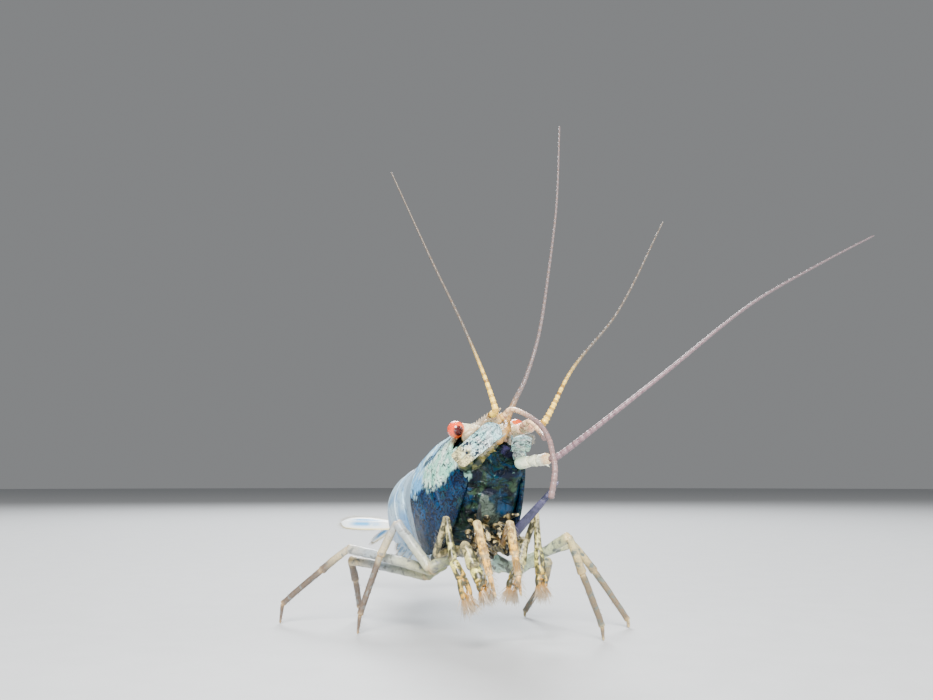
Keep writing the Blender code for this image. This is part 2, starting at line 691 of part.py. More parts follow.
# Limbs about the mouth: their joints from root to tip, as x to the left, station and height on the body
FEEDING = {
    ("cheliped_2", "right"): ((-0.95, -3.5, -4.6), (-2.6, -3.1, -5.0), (-2.5, -1.2, -3.85), (-2.55, -1.4, -6.1),
                              (-2.25, -1.45, -7.0), (-1.9, -1.9, -8.75)),
    ("cheliped_2", "left"): ((0.95, -3.5, -4.6), (2.35, -2.4, -4.85), (2.55, -1.0, -3.8), (2.4, -1.5, -5.6),
                             (2.35, -1.8, -6.9), (2.25, -2.1, -8.2)),
    ("cheliped_1", "right"): ((-0.85, -2.75, -4.6), (-1.35, -2.65, -5.2), (-1.75, -1.3, -5.35), (-1.5, -1.4, -6.5),
                              (-1.25, -1.42, -7.25), (-1.0, -1.6, -8.35)),
    ("cheliped_1", "left"): ((0.85, -2.75, -4.6), (1.3, -2.65, -5.2), (1.75, -1.5, -5.05), (1.35, -1.95, -6.2),
                             (0.95, -2.2, -6.95), (0.6, -2.6, -8.0)),
    ("maxilliped_3", "right"): ((-0.55, -2.0, -4.6), (-0.65, -1.8, -5.1), (-1.6, 0.15, -4.8), (-1.4, -0.2, -6.45),
                                (-1.25, -0.45, -7.3), (-1.0, -0.8, -8.25)),
    ("maxilliped_3", "left"): ((0.55, -2.0, -4.6), (0.65, -1.8, -5.1), (0.3, 0.0, -4.75), (0.4, -0.5, -6.3),
                               (0.5, -0.85, -7.2), (0.65, -1.3, -8.1)),
}
FEEDING_RADII = {
    "cheliped_2": (0.25, 0.27, 0.26, 0.27, 0.3, 0.12),
    "cheliped_1": (0.25, 0.27, 0.3, 0.32, 0.32, 0.12),
    "maxilliped_3": (0.26, 0.28, 0.27, 0.25, 0.24, 0.12),
}


# Exopod of the third jaw leg: a slender whip from its base outwards and up
EXOPOD = {"right": ((-0.75, -1.5, -5.15), (-1.15, -0.5, -4.5), (-1.5, 0.7, -4.0)),
          "left": ((0.75, -1.5, -5.15), (1.2, -0.4, -4.7), (2.0, 0.9, -4.0), (2.7, 1.6, -3.3))}
EXOPOD_RADIUS = 0.22
FINGER_SPREAD = 0.17
BRUSH_LENGTH = 0.75


def feeding_limb(kind, side, finish):
    """A limb about the mouth, folded at its knee, with its end hanging down ahead."""
    points = [body(*place) for place in FEEDING[kind, side]]
    radii = FEEDING_RADII[kind]
    extras = []
    if kind == "maxilliped_3":
        whip = smooth_route([body(*place) for place in EXOPOD[side]], 0.5)
        bm = bmesh.new()
        loft(bm, align(tube_rings(whip, [EXOPOD_RADIUS * (1 - 0.5 * i / len(whip)) for i in range(len(whip))],
                                  Vector((0, 0, 1)), 6)))
        extras.append(finish_mesh("exopod", bm, finish))
    else:
        extras = chela(points[-2], points[-1], radii[-2], finish)
        points[-1] = points[-2].lerp(points[-1], 0.2)
    path, sizes = jointed(points, radii)
    bm = bmesh.new()
    loft(bm, align(tube_rings(path, sizes, Vector((1, 0, 0)))))
    limb = finish_mesh("%s_%s" % (kind, side), bm, finish)
    fuse(limb, extras)
    return limb


def chela(palm, tip, radius, finish):
    """Two fingers at the end of a palm, each with a brush of tapered locks."""
    along = (tip - palm).normalized()
    spread = along.cross(heading(0)[0]).normalized()
    reach = (tip - palm).length - BRUSH_LENGTH
    pieces = []
    for part in (-1, 1):
        start = palm - along * 0.08 + spread * part * radius * 0.4
        end = palm + along * reach + spread * part * FINGER_SPREAD
        bm = bmesh.new()
        loft(bm, tube_rings([start, start.lerp(end, 0.5), end], [radius * 0.62, radius * 0.6, 0.13], spread, 6))
        pieces.append(finish_mesh("finger", bm, finish))
        for lean in (-0.25, 0.3):
            point = end + (along + spread * (part * 0.14 + lean * 0.5)).normalized() * BRUSH_LENGTH
            path = [end - along * 0.2, end.lerp(point, 0.45), point]
            bm = bmesh.new()
            loft(bm, tube_rings(path, [(0.1, 0.1), (0.19, 0.11), (0.05, 0.04)], spread.cross(along), 6))
            pieces.append(finish_mesh("lock", bm, finish))
    return pieces


MOUTH = (-0.36, -0.6, -5.05)
MOUTH_HALVES = (0.36, 0.6, 0.55)


def mouthparts(finish):
    """The folded plates of the mouth, under the face and between the feeding limbs."""
    bm = bmesh.new()
    bmesh.ops.create_uvsphere(bm, u_segments=16, v_segments=10, radius=1)
    back, left, up = heading(0)
    wide, deep, high = MOUTH_HALVES
    turn = Matrix((left * wide, back * deep, up * high)).transposed().to_4x4()
    turn.translation = body(*MOUTH)
    bmesh.ops.transform(bm, matrix=turn, verts=bm.verts)
    return finish_mesh("mouthparts", bm, finish)


PLEOPOD_LENGTHS = (2.3, 2.5, 2.3, 2.0, 1.7)
PLEOPOD_SPREAD = 0.27
PLEOPOD_LEAN = 2.2
PLEOPOD_DROP = 0.25
PLEOPOD_HALF_WIDTH = 0.2


def pleopod(side, number, finish):
    """A swimming paddle under a ring of the abdomen."""
    front = -CARAPACE_LENGTH - sum(PLEON_LENGTHS[: number - 1])
    station = front - PLEON_LENGTHS[number - 1] / 2
    back, left, up = heading(station)
    drop = curve(PLEON_EDGE, station) - PLEOPOD_DROP
    half = curve(WIDTH, station)
    root = body(SIDE[side] * half * PLEOPOD_SPREAD, station, drop)
    along = -up + back * PLEOPOD_LEAN
    bm = bmesh.new()
    loft(bm, paddle_rings(root, along, back, PLEOPOD_LENGTHS[number - 1], half * PLEOPOD_HALF_WIDTH, THIN))
    return finish_mesh("pleopod_%d_%s" % (number, side), bm, finish)


for old in list(bpy.data.objects):
    bpy.data.objects.remove(old, do_unlink=True)

BODY = bpy.data.objects.new("shrimp", None)
bpy.context.scene.collection.objects.link(BODY)

blue_shell = material("blue_shell", (0.02, 0.09, 0.22), 0.3)
dark_flesh = material("dark_flesh", (0.01, 0.05, 0.06), 0.35)
pale_shell = material("pale_shell", (0.45, 0.6, 0.75), 0.3)
tail_white = material("tail_white", (0.8, 0.86, 0.9), 0.3)
eye_coral = material("eye_coral", (0.75, 0.16, 0.08), 0.15)
cream = material("cream", (0.75, 0.62, 0.38), 0.35)
scale_mint = material("scale_mint", (0.6, 0.78, 0.74), 0.3)
feeler_pink = material("feeler_pink", (0.5, 0.4, 0.38), 0.4)
leg_pale = material("leg_pale", (0.62, 0.66, 0.62), 0.35)
shin_tan = material("shin_tan", (0.42, 0.34, 0.24), 0.35)
feeding_ochre = material("feeding_ochre", (0.5, 0.32, 0.12), 0.35)

carapace(blue_shell)
thorax(dark_flesh)
for ring_number in range(1, len(PLEON_LENGTHS) + 1):
    pleon_ring(ring_number, pale_shell)
telson(tail_white)
mouthparts(feeding_ochre)
antennule_feelers(cream)
antennae(feeler_pink)
for body_side in SIDE:
    uropod(body_side, tail_white)
    eyestalk(body_side, cream)
    eye(body_side, eye_coral)
    stub("antennule_" + body_side, ANTENNULE[body_side], ANTENNULE_RADII, ANTENNULE_END_WIDTH, cream)
    stub("antenna_base_" + body_side, ANTENNA_BASE[body_side], ANTENNA_BASE_RADII, 1.0, cream)
    antenna_scale(body_side, scale_mint)
    for leg_number in LEG_ROOTS:
        leg(body_side, leg_number, leg_pale, shin_tan)
    for limb in FEEDING_RADII:
        feeding_limb(limb, body_side, feeding_ochre)
    for paddle_number in range(1, len(PLEOPOD_LENGTHS) + 1):
        pleopod(body_side, paddle_number, pale_shell)

# The origin goes to the middle of the floor under the whole animal
graph = bpy.context.evaluated_depsgraph_get()
graph.update()
low = Vector((1, 1, 1))
high = Vector((-1, -1, -1))
for thing in bpy.data.objects:
    if thing.type in {"MESH", "CURVE"}:
        for vert in thing.evaluated_get(graph).to_mesh().vertices:
            low = Vector(map(min, low, vert.co))
            high = Vector(map(max, high, vert.co))
BODY.location = (-(low.x + high.x) / 2, -(low.y + high.y) / 2, -low.z)
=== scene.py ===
import random
from math import atan, atan2, copysign, cos, exp, pi, radians, sin, sqrt

import bmesh
import bpy
import numpy as np
from mathutils import Matrix, Vector, noise


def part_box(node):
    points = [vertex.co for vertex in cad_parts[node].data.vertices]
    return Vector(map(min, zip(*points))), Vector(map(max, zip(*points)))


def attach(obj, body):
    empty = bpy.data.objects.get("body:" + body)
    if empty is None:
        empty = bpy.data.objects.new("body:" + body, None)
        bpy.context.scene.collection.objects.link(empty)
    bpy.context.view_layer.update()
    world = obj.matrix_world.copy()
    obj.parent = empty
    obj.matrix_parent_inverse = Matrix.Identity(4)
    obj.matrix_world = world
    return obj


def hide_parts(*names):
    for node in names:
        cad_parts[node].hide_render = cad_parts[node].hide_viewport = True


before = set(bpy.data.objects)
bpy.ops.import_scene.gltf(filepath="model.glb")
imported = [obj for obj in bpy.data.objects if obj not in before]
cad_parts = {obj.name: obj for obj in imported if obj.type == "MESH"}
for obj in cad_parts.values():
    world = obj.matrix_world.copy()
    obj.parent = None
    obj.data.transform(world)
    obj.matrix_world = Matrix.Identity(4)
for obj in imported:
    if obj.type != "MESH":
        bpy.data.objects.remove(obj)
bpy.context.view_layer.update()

mm = 0.001
sides = {"right": -1, "left": 1}
print("frame loaded with", len(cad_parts), "nodes")

# The animal's plan in millimetres, as the solids have it. Stations run ahead from the orbit.
plan = {
    "orbitHeight": 10.43,
    "carapaceLength": 7.0,
    "pleonLengths": (1.7, 2.3, 2.3, 1.7, 1.7, 3.2),
    "slope": ((-20, -8), (-16, -7), (-14, -5), (-12, -5), (-10, -7), (-8, -12), (-7, -19),
              (-5, -27), (4, -27)),
    "turn": ((-20, 22), (-18, 20), (-16, 17), (-14, 14), (-12, 11), (-10, 8), (-8, 4), (-7, 0), (4, 0)),
    "ridge": ((-20, 0.8), (-17, 1.05), (-15, 1.35), (-13, 1.75), (-11, 2.05), (-9, 2.1), (-7, 2.1),
              (-5, 2.2), (-3.5, 2.0), (-2, 1.6), (-1, 1.3), (0, 0.95), (1, 0.6)),
    "width": ((-20, 0.85), (-17, 1.0), (-15, 1.2), (-13, 1.5), (-11, 1.8), (-9, 2.0), (-7, 2.1),
              (-6, 2.3), (-4.5, 2.4), (-3, 2.35), (-1.5, 2.2), (0, 1.95), (1, 1.75)),
    "shieldEdge": ((-7.4, -1.4), (-7, -1.9), (-6.3, -3.2), (-5.2, -4.1), (-3.8, -4.4), (-2.3, -4.1),
                   (-0.8, -3.3), (0.4, -2.3), (0.9, -1.5)),
    "pleonEdge": ((-20, -0.95), (-17, -1.05), (-16, -1.2), (-14, -1.4), (-12, -1.65), (-10, -1.8),
                  (-8.2, -1.95), (-7, -1.9)),
    "fleshEdge": ((-7, -2.6), (-6.4, -3.4), (-5.3, -4.05), (-4.2, -4.2), (-2.8, -4.15), (-1.9, -3.9),
                  (-1.1, -3.45), (-0.4, -3.0), (0.2, -2.5), (0.6, -2.1), (1, -1.8)),
    "frontEdge": ((0, 0.1), (0.2, -0.1), (0.36, -0.5), (0.44, -0.35), (0.5, 0.35), (0.56, 0.05), (0.62, 0.3),
                  (0.85, 0.7), (0.94, 0.78), (1, 0.3)),
    "rearEdge": ((0, -7.0), (0.3, -7.25), (0.6, -7.2), (0.8, -6.8), (1, -6.3)),
    "edgeShift": (0.0, 0.75, -0.6, -0.2, -0.2, -0.2, 0.0),
    "shoulder": 0.55,
    "tuck": 0.16,
    "roundness": 1.15,
    "axisLength": 26,
    "axisStep": 0.05,
}
pleonEnd = -plan["carapaceLength"] - sum(plan["pleonLengths"])


def clamp(value, low=0, high=1):
    return min(max(value, low), high)


# A rounded hump: 1 at its middle, next to nothing two widths away
def hump(at, middle, width):
    return exp(-((at - middle) / width) ** 2)


# A smooth random swell about 0
def swell(x, y, z):
    return noise.noise(Vector((x, y, z)))


def sided(name, side):
    return name + side.capitalize()


def newObject(name, data):
    made = bpy.data.objects.new(name, data)
    bpy.context.scene.collection.objects.link(made)
    return made


# Value of a smooth curve through a table's points
def curveAt(table, at):
    x = [p[0] for p in table]
    y = [p[1] for p in table]
    at = clamp(at, x[0], x[-1])
    i = clamp(int(np.searchsorted(x, at)), 1, len(x) - 1)
    step = x[i] - x[i - 1]
    u = (at - x[i - 1]) / step
    before = max(i - 2, 0)
    after = min(i + 1, len(x) - 1)
    slope0 = (y[i] - y[before]) / (x[i] - x[before]) * step
    slope1 = (y[after] - y[i - 1]) / (x[after] - x[i - 1]) * step
    return ((2 * u**3 - 3 * u**2 + 1) * y[i - 1] + (u**3 - 2 * u**2 + u) * slope0
            + (3 * u**2 - 2 * u**3) * y[i] + (u**3 - u**2) * slope1)


# The way back along the body, the way to its left, and its up
def heading(station):
    slope = radians(curveAt(plan["slope"], station))
    turn = radians(curveAt(plan["turn"], station))
    back = Vector((sin(turn) * cos(slope), cos(turn) * cos(slope), sin(slope)))
    left = Vector((cos(turn), -sin(turn), 0))
    return back, left, left.cross(back)


axisStep = plan["axisStep"]
axis = [Vector((0, 0, plan["orbitHeight"]))]
for n in range(int(plan["axisLength"] / axisStep)):
    axis.append(axis[-1] + heading(-(n + 0.5) * axisStep)[0] * axisStep)


# Place on the body: x to its left, station ahead of the orbit, height over its axis
def bodyPoint(x, station, height):
    back, left, up = heading(station)
    if station >= 0:
        centre = axis[0] - back * station
    else:
        whole = min(int(-station / axisStep), len(axis) - 2)
        centre = axis[whole].lerp(axis[whole + 1], -station / axisStep - whole)
    return centre + left * x + up * height


def bodyPoints(places):
    return [bodyPoint(*place) for place in places]


# Half a cross-section: share runs from 0 on the ridge to 1 at the lower edge
def sectionAt(halfWidth, ridge, edge, share):
    shoulder = plan["shoulder"]
    shoulderHeight = ridge - shoulder * (ridge - edge)
    if share < shoulder:
        angle = share / shoulder * pi / 2
        height = shoulderHeight + (ridge - shoulderHeight) * cos(angle) ** plan["roundness"]
        return halfWidth * sin(angle), height
    lower = (share - shoulder) / (1 - shoulder)
    return halfWidth * (1 - plan["tuck"] * lower * lower), shoulderHeight + (edge - shoulderHeight) * lower


# Point of the shield's surface, raised or sunk by a few hundredths
def shieldPoint(q, station, raised=0.0):
    halfWidth = curveAt(plan["width"], station) + raised
    ridge = curveAt(plan["ridge"], station) + raised
    x, height = sectionAt(halfWidth, ridge, curveAt(plan["shieldEdge"], station), abs(q))
    return bodyPoint(copysign(x, q), station, height)


# Half width of the shield at a height over the axis
def shieldHalf(station, height):
    ridge = curveAt(plan["ridge"], station)
    edge = curveAt(plan["shieldEdge"], station)
    shoulderHeight = ridge - plan["shoulder"] * (ridge - edge)
    half = curveAt(plan["width"], station)
    if height <= shoulderHeight:
        lower = min((shoulderHeight - height) / (shoulderHeight - edge), 1)
        return half * (1 - plan["tuck"] * lower * lower)
    rise = min((height - shoulderHeight) / (ridge - shoulderHeight), 1) ** (1 / plan["roundness"])
    return half * sqrt(1 - rise * rise)


# The solids' frame has its origin under the middle of the whole animal, so the right eye gives the shift
eyePlace = {"right": (-1.68, 0.25, 0.35), "left": (1.85, 0.3, 0.55)}
eyeLow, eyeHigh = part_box("eye_right")
shift = (eyeLow + eyeHigh) / 2 / mm - bodyPoint(*eyePlace["right"])

# The marks that the finishes read: mm along, share of the reach, nearness of a joint, and a side share
formMarks = ("along", "reach", "joint", "share")
sharpAngle = 60
endSquare = 0.0025  # a rounded end keeps a twentieth of the radius, squared here
spineTip = 0.08


def newForm():
    bm = bmesh.new()
    for mark in formMarks:
        bm.verts.layers.float.new(mark)
    bm.verts.layers.int.new("placed")
    return bm


# The vertices made since the last call
def newVerts(bm):
    placed = bm.verts.layers.int["placed"]
    fresh = [vert for vert in bm.verts if not vert[placed]]
    for vert in fresh:
        vert[placed] = 1
    return fresh


def setMarks(bm, vert, **marks):
    for name, value in marks.items():
        vert[bm.verts.layers.float[name]] = value


# A closed column of rings, shaped by place(u, turn), which gives a point and its marks
def addColumn(bm, rows, segments, place):
    made = bmesh.ops.create_cone(bm, cap_ends=True, segments=segments, radius1=1, radius2=1, depth=1)
    edges = {e for v in made["verts"] for e in v.link_edges}
    upright = [e for e in edges if abs(e.verts[0].co.z - e.verts[1].co.z) > 0.5]
    bmesh.ops.subdivide_edges(bm, edges=upright, cuts=rows - 1, use_grid_fill=True)
    for vert in newVerts(bm):
        point, marks = place(clamp(vert.co.z + 0.5), atan2(vert.co.y, vert.co.x))
        vert.co = point
        setMarks(bm, vert, **marks)


# Centres and ways of the rings along a path
def ringFrames(path, rows, up):
    stops = [path(i / rows) for i in range(rows + 1)]
    rings = []
    for i, stop in enumerate(stops):
        ahead = (stops[min(i + 1, rows)] - stops[max(i - 1, 0)]).normalized()
        up = (up - ahead * up.dot(ahead)).normalized()
        rings.append((stop, ahead.cross(up), up))
    return rings


# A tube bent along a path; size(u, turn) gives half width and half height, marks(u, turn) what it carries
def addTube(bm, path, size, marks, rows, segments, up=Vector((0, 0, 1))):
    rings = ringFrames(path, rows, up)

    def place(u, turn):
        centre, side, lift = rings[round(u * rows)]
        wide, high = size(u, turn)
        return centre + side * wide * cos(turn) + lift * high * sin(turn), marks(u, turn)

    addColumn(bm, rows, segments, place)


# Rounds off both ends of a tube, each over a given share of it
def roundEnds(u, start, stop):
    if u < start:
        return sqrt(max(1 - (1 - u / start) ** 2, endSquare))
    if u > 1 - stop:
        return sqrt(max(1 - (1 - (1 - u) / stop) ** 2, endSquare))
    return 1.0


# A straight round peg with rounded ends
def addPeg(bm, root, tip, radius, ends, marks, rows, segments, up=Vector((0, 0, 1))):
    def size(u, turn):
        return (radius * roundEnds(u, *ends),) * 2

    addTube(bm, lambda u: root.lerp(tip, u), size, marks, rows, segments, up)


def addSpine(bm, root, tip, radius, segments=6, **marks):
    turned = (tip - root).to_track_quat("Z", "Y").to_matrix().to_4x4()
    turned.translation = (root + tip) / 2
    bmesh.ops.create_cone(bm, cap_ends=True, segments=segments, radius1=radius, radius2=radius * spineTip,
                          depth=(tip - root).length, matrix=turned)
    for vert in newVerts(bm):
        setMarks(bm, vert, **marks)


# The mesh of a form, moved from the plan into the frame
def meshOf(name, bm):
    bmesh.ops.translate(bm, verts=bm.verts, vec=shift)
    bmesh.ops.scale(bm, verts=bm.verts, vec=(mm, mm, mm))
    mesh = bpy.data.meshes.new(name)
    bm.to_mesh(mesh)
    bm.free()
    return mesh


# Makes a closed form a piece
def finishPiece(name, bm, finish, slot, *nodes):
    bmesh.ops.recalc_face_normals(bm, faces=bm.faces)
    placePiece(name, meshOf(name, bm), finish, slot, *nodes)


# Makes a mesh a piece that rides on the body
def placePiece(name, mesh, finish, slot, *nodes):
    mesh.materials.clear()
    mesh.materials.append(finishes[finish])
    mesh.shade_smooth()
    mesh.set_sharp_from_angle(angle=radians(sharpAngle))
    piece = newObject(name, mesh)
    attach(piece, "root")
    if nodes:
        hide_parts(*nodes)
    return piece


# Smooth route through given points, read by the share of its length
def routeThrough(points):
    knots = [0.0]
    for a, b in zip(points, points[1:]):
        knots.append(knots[-1] + (b - a).length)
    tables = [tuple(zip(knots, (p[i] for p in points))) for i in range(3)]
    return (lambda u: Vector([curveAt(table, knots[-1] * u) for table in tables])), knots[-1]


# Shader maths: a socket that adds, subtracts, multiplies and compares like a number
class Wire:
    def __init__(self, paint, socket):
        self.paint = paint
        self.socket = socket

    def __add__(self, other):
        return self.paint.maths("ADD", self, other)

    def __radd__(self, other):
        return self.paint.maths("ADD", other, self)

    def __sub__(self, other):
        return self.paint.maths("SUBTRACT", self, other)

    def __rsub__(self, other):
        return self.paint.maths("SUBTRACT", other, self)

    def __mul__(self, other):
        return self.paint.maths("MULTIPLY", self, other)

    def __rmul__(self, other):
        return self.paint.maths("MULTIPLY", other, self)

    def __abs__(self):
        return self.paint.maths("ABSOLUTE", self)

    # 0 below low, 1 above high, smooth between
    def between(self, low, high):
        node = self.paint.node("ShaderNodeMapRange", {"interpolation_type": "SMOOTHSTEP"},
                               {"Value": self, "From Min": low, "From Max": high})
        return Wire(self.paint, node.outputs["Result"])


# A material under construction, round one Principled shader. Its own colours go by their names.
class Paint:
    def __init__(self, name, colours=None, **shader):
        self.colours = colours
        self.material = bpy.data.materials.new(name)
        self.material.use_nodes = True
        self.tree = self.material.node_tree
        self.shader = self.tree.nodes["Principled BSDF"]
        for socket, value in shader.items():
            self.shader.inputs[socket.replace("_", " ")].default_value = value
        where = self.node("ShaderNodeTexCoord").outputs["Object"]
        inMillimetres = self.node("ShaderNodeMapping", {}, {"Vector": where, "Scale": (1 / mm,) * 3})
        self.place = inMillimetres.outputs["Vector"]

    def node(self, kind, settings=None, values=None):
        made = self.tree.nodes.new(kind)
        for name, value in (settings or {}).items():
            setattr(made, name, value)
        for socket, value in (values or {}).items():
            self.feed(made.inputs[socket], value)
        return made

    def feed(self, socket, value):
        if isinstance(value, Wire):
            value = value.socket
        if isinstance(value, bpy.types.NodeSocket):
            self.tree.links.new(value, socket)
        else:
            socket.default_value = value

    def maths(self, operation, *values):
        made = self.node("ShaderNodeMath", {"operation": operation}, dict(enumerate(values)))
        return Wire(self, made.outputs[0])

    def mark(self, name):
        return Wire(self, self.node("ShaderNodeAttribute", {"attribute_name": name}).outputs["Fac"])

    def noiseAt(self, place, scale, detail, distortion):
        made = self.node("ShaderNodeTexNoise", {}, {"Vector": place, "Scale": scale, "Detail": detail,
                                                    "Distortion": distortion})
        return Wire(self, made.outputs["Fac"])

    def noise(self, scale, detail=3.0, distortion=0.0):
        return self.noiseAt(self.place, scale, detail, distortion)

    # Patches with soft edges, where a noise lies between two values
    def patches(self, low, high, *noise):
        return self.noise(*noise).between(low, high)

    # Noise read from the marks of station and side share, so that both sides carry the same patches
    def mirrored(self, scale, detail, distortion):
        place = self.node("ShaderNodeCombineXYZ", {}, {"X": self.mark("share"), "Y": self.mark("along")})
        return self.noiseAt(place.outputs["Vector"], scale, detail, distortion)

    # How far a place lies from the edges of small cells
    def facets(self, scale):
        made = self.node("ShaderNodeTexVoronoi", {"feature": "DISTANCE_TO_EDGE"},
                         {"Vector": self.place, "Scale": scale})
        return Wire(self, made.outputs["Distance"])

    # Thin winding lines where a noise crosses its middle value
    def veins(self, scale, width, distortion=0.8):
        return 1 - abs(self.noise(scale, 1.5, distortion) - 0.5).between(width * 0.4, width)

    def mix(self, factor, a, b):
        made = self.node("ShaderNodeMix", {"data_type": "RGBA", "clamp_factor": True})
        self.feed(made.inputs[0], factor)
        for socket, colour in ((made.inputs[6], a), (made.inputs[7], b)):
            if isinstance(colour, str):
                colour = self.colours[colour]
            self.feed(socket, (*colour, 1) if isinstance(colour, tuple) else colour)
        return made.outputs[2]

    # Lays a colour over what is painted so far
    def over(self, factor, colour):
        self.colour = self.mix(factor, self.colour, colour)

    # Sets colour and relief, and gives the material
    def done(self, height=None, depth=0.0, strength=0.6):
        self.feed(self.shader.inputs["Base Color"], self.colour)
        if height is not None:
            relief = {"Strength": strength, "Distance": depth * mm, "Height": height}
            made = self.node("ShaderNodeBump", {}, relief)
            self.feed(self.shader.inputs["Normal"], made.outputs["Normal"])
        return self.material


skinGloss = {"IOR": 1.38, "Coat_Weight": 0.16, "Coat_Roughness": 0.1}
wetGloss = {"IOR": 1.33, "Specular_IOR_Level": 0.32, "Coat_Weight": 0.06, "Coat_Roughness": 0.08}
softLight = {"Subsurface_Weight": 0.1, "Subsurface_Scale": 0.00012, "Subsurface_Radius": (0.8, 0.85, 1.0)}


# The shield: deep blue with a dark network low down, pale mint over the head, hazy along the back. Behind the
# pale line lies the clear rear band.
shieldColours = {
    "deep": (0.0018, 0.019, 0.075), "bright": (0.006, 0.066, 0.175), "teal": (0.004, 0.062, 0.085),
    "network": (0.0004, 0.002, 0.009), "mint": (0.36, 0.76, 0.58), "white": (0.8, 1.0, 0.88),
    "haze": (0.15, 0.47, 0.84), "pale": (0.6, 0.92, 1.0), "bandPale": (0.27, 0.39, 0.49),
    "bandDim": (0.18, 0.3, 0.42), "fern": (0.16, 0.5, 0.4), "olive": (0.02, 0.05, 0.04),
    "line": (0.7, 0.8, 0.84), "beige": (0.62, 0.46, 0.28),
    "networkScale": 2.9, "lineStation": 5.62,
}


def shieldFinish():
    paint = Paint("shieldFinish", shieldColours, Roughness=0.27, **wetGloss)
    station = paint.mark("along")
    share = paint.mark("share")
    coarse = paint.noise(0.8, 3, 0.4) - 0.5
    fine = paint.noise(3.4, 4, 0.6) - 0.5
    ragged = coarse * 0.22 + fine * 0.16
    blue = paint.mix(paint.patches(0.36, 0.62, 1.1), "deep", "bright")
    blue = paint.mix(paint.patches(0.52, 0.64, 1.7, 3, 0.6) * 0.8, blue, "teal")
    network = paint.veins(shieldColours["networkScale"], 0.075, 1.2)
    thin = paint.veins(shieldColours["networkScale"] * 2.3, 0.08, 1.0)
    blue = paint.mix(thin * 0.55, blue, "network")
    blue = paint.mix(network * 0.9, blue, "network")
    blue = paint.mix(paint.patches(0.62, 0.7, 8.0, 2) * 0.4, blue, "bright")
    blue = paint.mix((share + ragged * 0.6).between(0.6, 0.9) * 0.5, blue, "network")
    haze = paint.mix(paint.patches(0.36, 0.64, 1.2, 4, 0.5), "haze", "pale")
    haze = paint.mix(paint.veins(1.6, 0.03) * 0.4, haze, "bright")
    top = (share + ragged - (station + 5.0).between(0.0, 3.0) * 0.06).between(0.42, 0.49)
    paint.colour = paint.mix(top, haze, blue)
    mint = paint.mix(paint.patches(0.38, 0.6, 1.7, 4, 0.5), "mint", "white")
    mint = paint.mix(paint.patches(0.47, 0.6, 2.3, 4, 1.0) * 0.65, mint, "fern")
    mint = paint.mix(paint.veins(2.6, 0.045, 1.4) * 0.5, mint, "teal")
    mint = paint.mix(paint.patches(0.575, 0.63, 3.0, 3, 1.4) * 0.9, mint, "network")
    upper = share + ragged * 0.5 + station * 0.03
    lower = share + ragged * 0.8 - station * 0.065
    back = (station + ragged * 5).between(-4.0, -3.3)
    patch = upper.between(0.2, 0.27) * (1 - lower.between(0.695, 0.755)) * back
    border = upper.between(0.175, 0.195) * (1 - upper.between(0.22, 0.25)) * (station + 4.3).between(0.0, 0.6)
    paint.over(patch, mint)
    paint.over(border * paint.patches(0.37, 0.45, 2.2, 3, 1.0) * 0.85, "network")
    rim = (share + ragged * 0.9).between(0.92, 1.02) * paint.patches(0.44, 0.6, 2.4)
    paint.over(rim * 0.6, "olive")
    lineAt = station + shieldColours["lineStation"] + share.between(0.6, 1.0) * 0.25
    band = paint.mix((share + coarse * 0.4).between(0.45, 0.95) * 0.75, "bandPale", "bandDim")
    band = paint.mix(paint.veins(2.0, 0.05) * 0.45 * share.between(0.4, 0.8), band, "bright")
    paint.over(1 - (lineAt + fine * 0.04).between(-0.03, 0.02), band)
    pale = (1 - abs(lineAt - 0.03).between(0.02, 0.06)) * share.between(0.2, 0.4)
    paint.over(pale, "line")
    dark = (1 - abs(lineAt + 0.06).between(0.02, 0.05)) * share.between(0.3, 0.5)
    paint.over(dark * 0.85, "network")
    paint.over(station.between(-1.2, -0.5) * (1 - share.between(0.3, 0.4)) * 0.85, "beige")
    return paint.done(network * -0.7 + paint.noise(5.0) * 0.6 + paint.noise(1.2, 2), 0.06)


# Rings of the abdomen: pale sky blue and milky white
pleonColours = {"sky": (0.15, 0.4, 0.7), "milk": (0.52, 0.78, 0.93), "deep": (0.05, 0.16, 0.38),
                "rim": (0.82, 0.9, 0.92), "freckle": (0.01, 0.04, 0.16)}


def pleonFinish():
    paint = Paint("pleonFinish", pleonColours, Roughness=0.3, **skinGloss, **softLight)
    share = paint.mark("share")
    paint.colour = paint.mix(paint.patches(0.38, 0.62, 0.8, 4, 0.4), "sky", "milk")
    paint.over(paint.veins(1.5, 0.03) * 0.45, "deep")
    low = (share + (paint.noise(1.4) - 0.5) * 0.3).between(0.55, 0.85)
    paint.over(low * 0.5, "deep")
    paint.over(paint.patches(0.66, 0.72, 7, 2) * 0.7, "freckle")
    paint.over(paint.mark("joint"), "rim")
    return paint.done(paint.noise(4), 0.04)


# Tail blades: white with pale blue middles and cream edges
tailColours = {"white": (0.86, 0.92, 0.94), "blue": (0.1, 0.42, 0.8), "cream": (0.9, 0.76, 0.34),
               "rib": (0.92, 0.94, 0.92)}


def tailFinish():
    paint = Paint("tailFinish", tailColours, Roughness=0.32, **skinGloss, **softLight)
    reach = paint.mark("reach")
    share = paint.mark("share")
    blot = (1 - abs(reach - 0.55).between(0.12, 0.34)) * (1 - share.between(0.35, 0.8))
    paint.colour = paint.mix(blot * paint.patches(0.2, 0.5, 1.2), "white", "blue")
    cream = share.between(0.72, 0.95) + (1 - reach.between(0.0, 0.22)) * 0.7
    paint.over(cream * (0.5 + paint.noise(3) * 0.7), "cream")
    paint.over(paint.mark("joint") * 0.6, "rib")
    return paint.done(paint.mark("joint") + paint.noise(5, 2) * 0.4, 0.05)


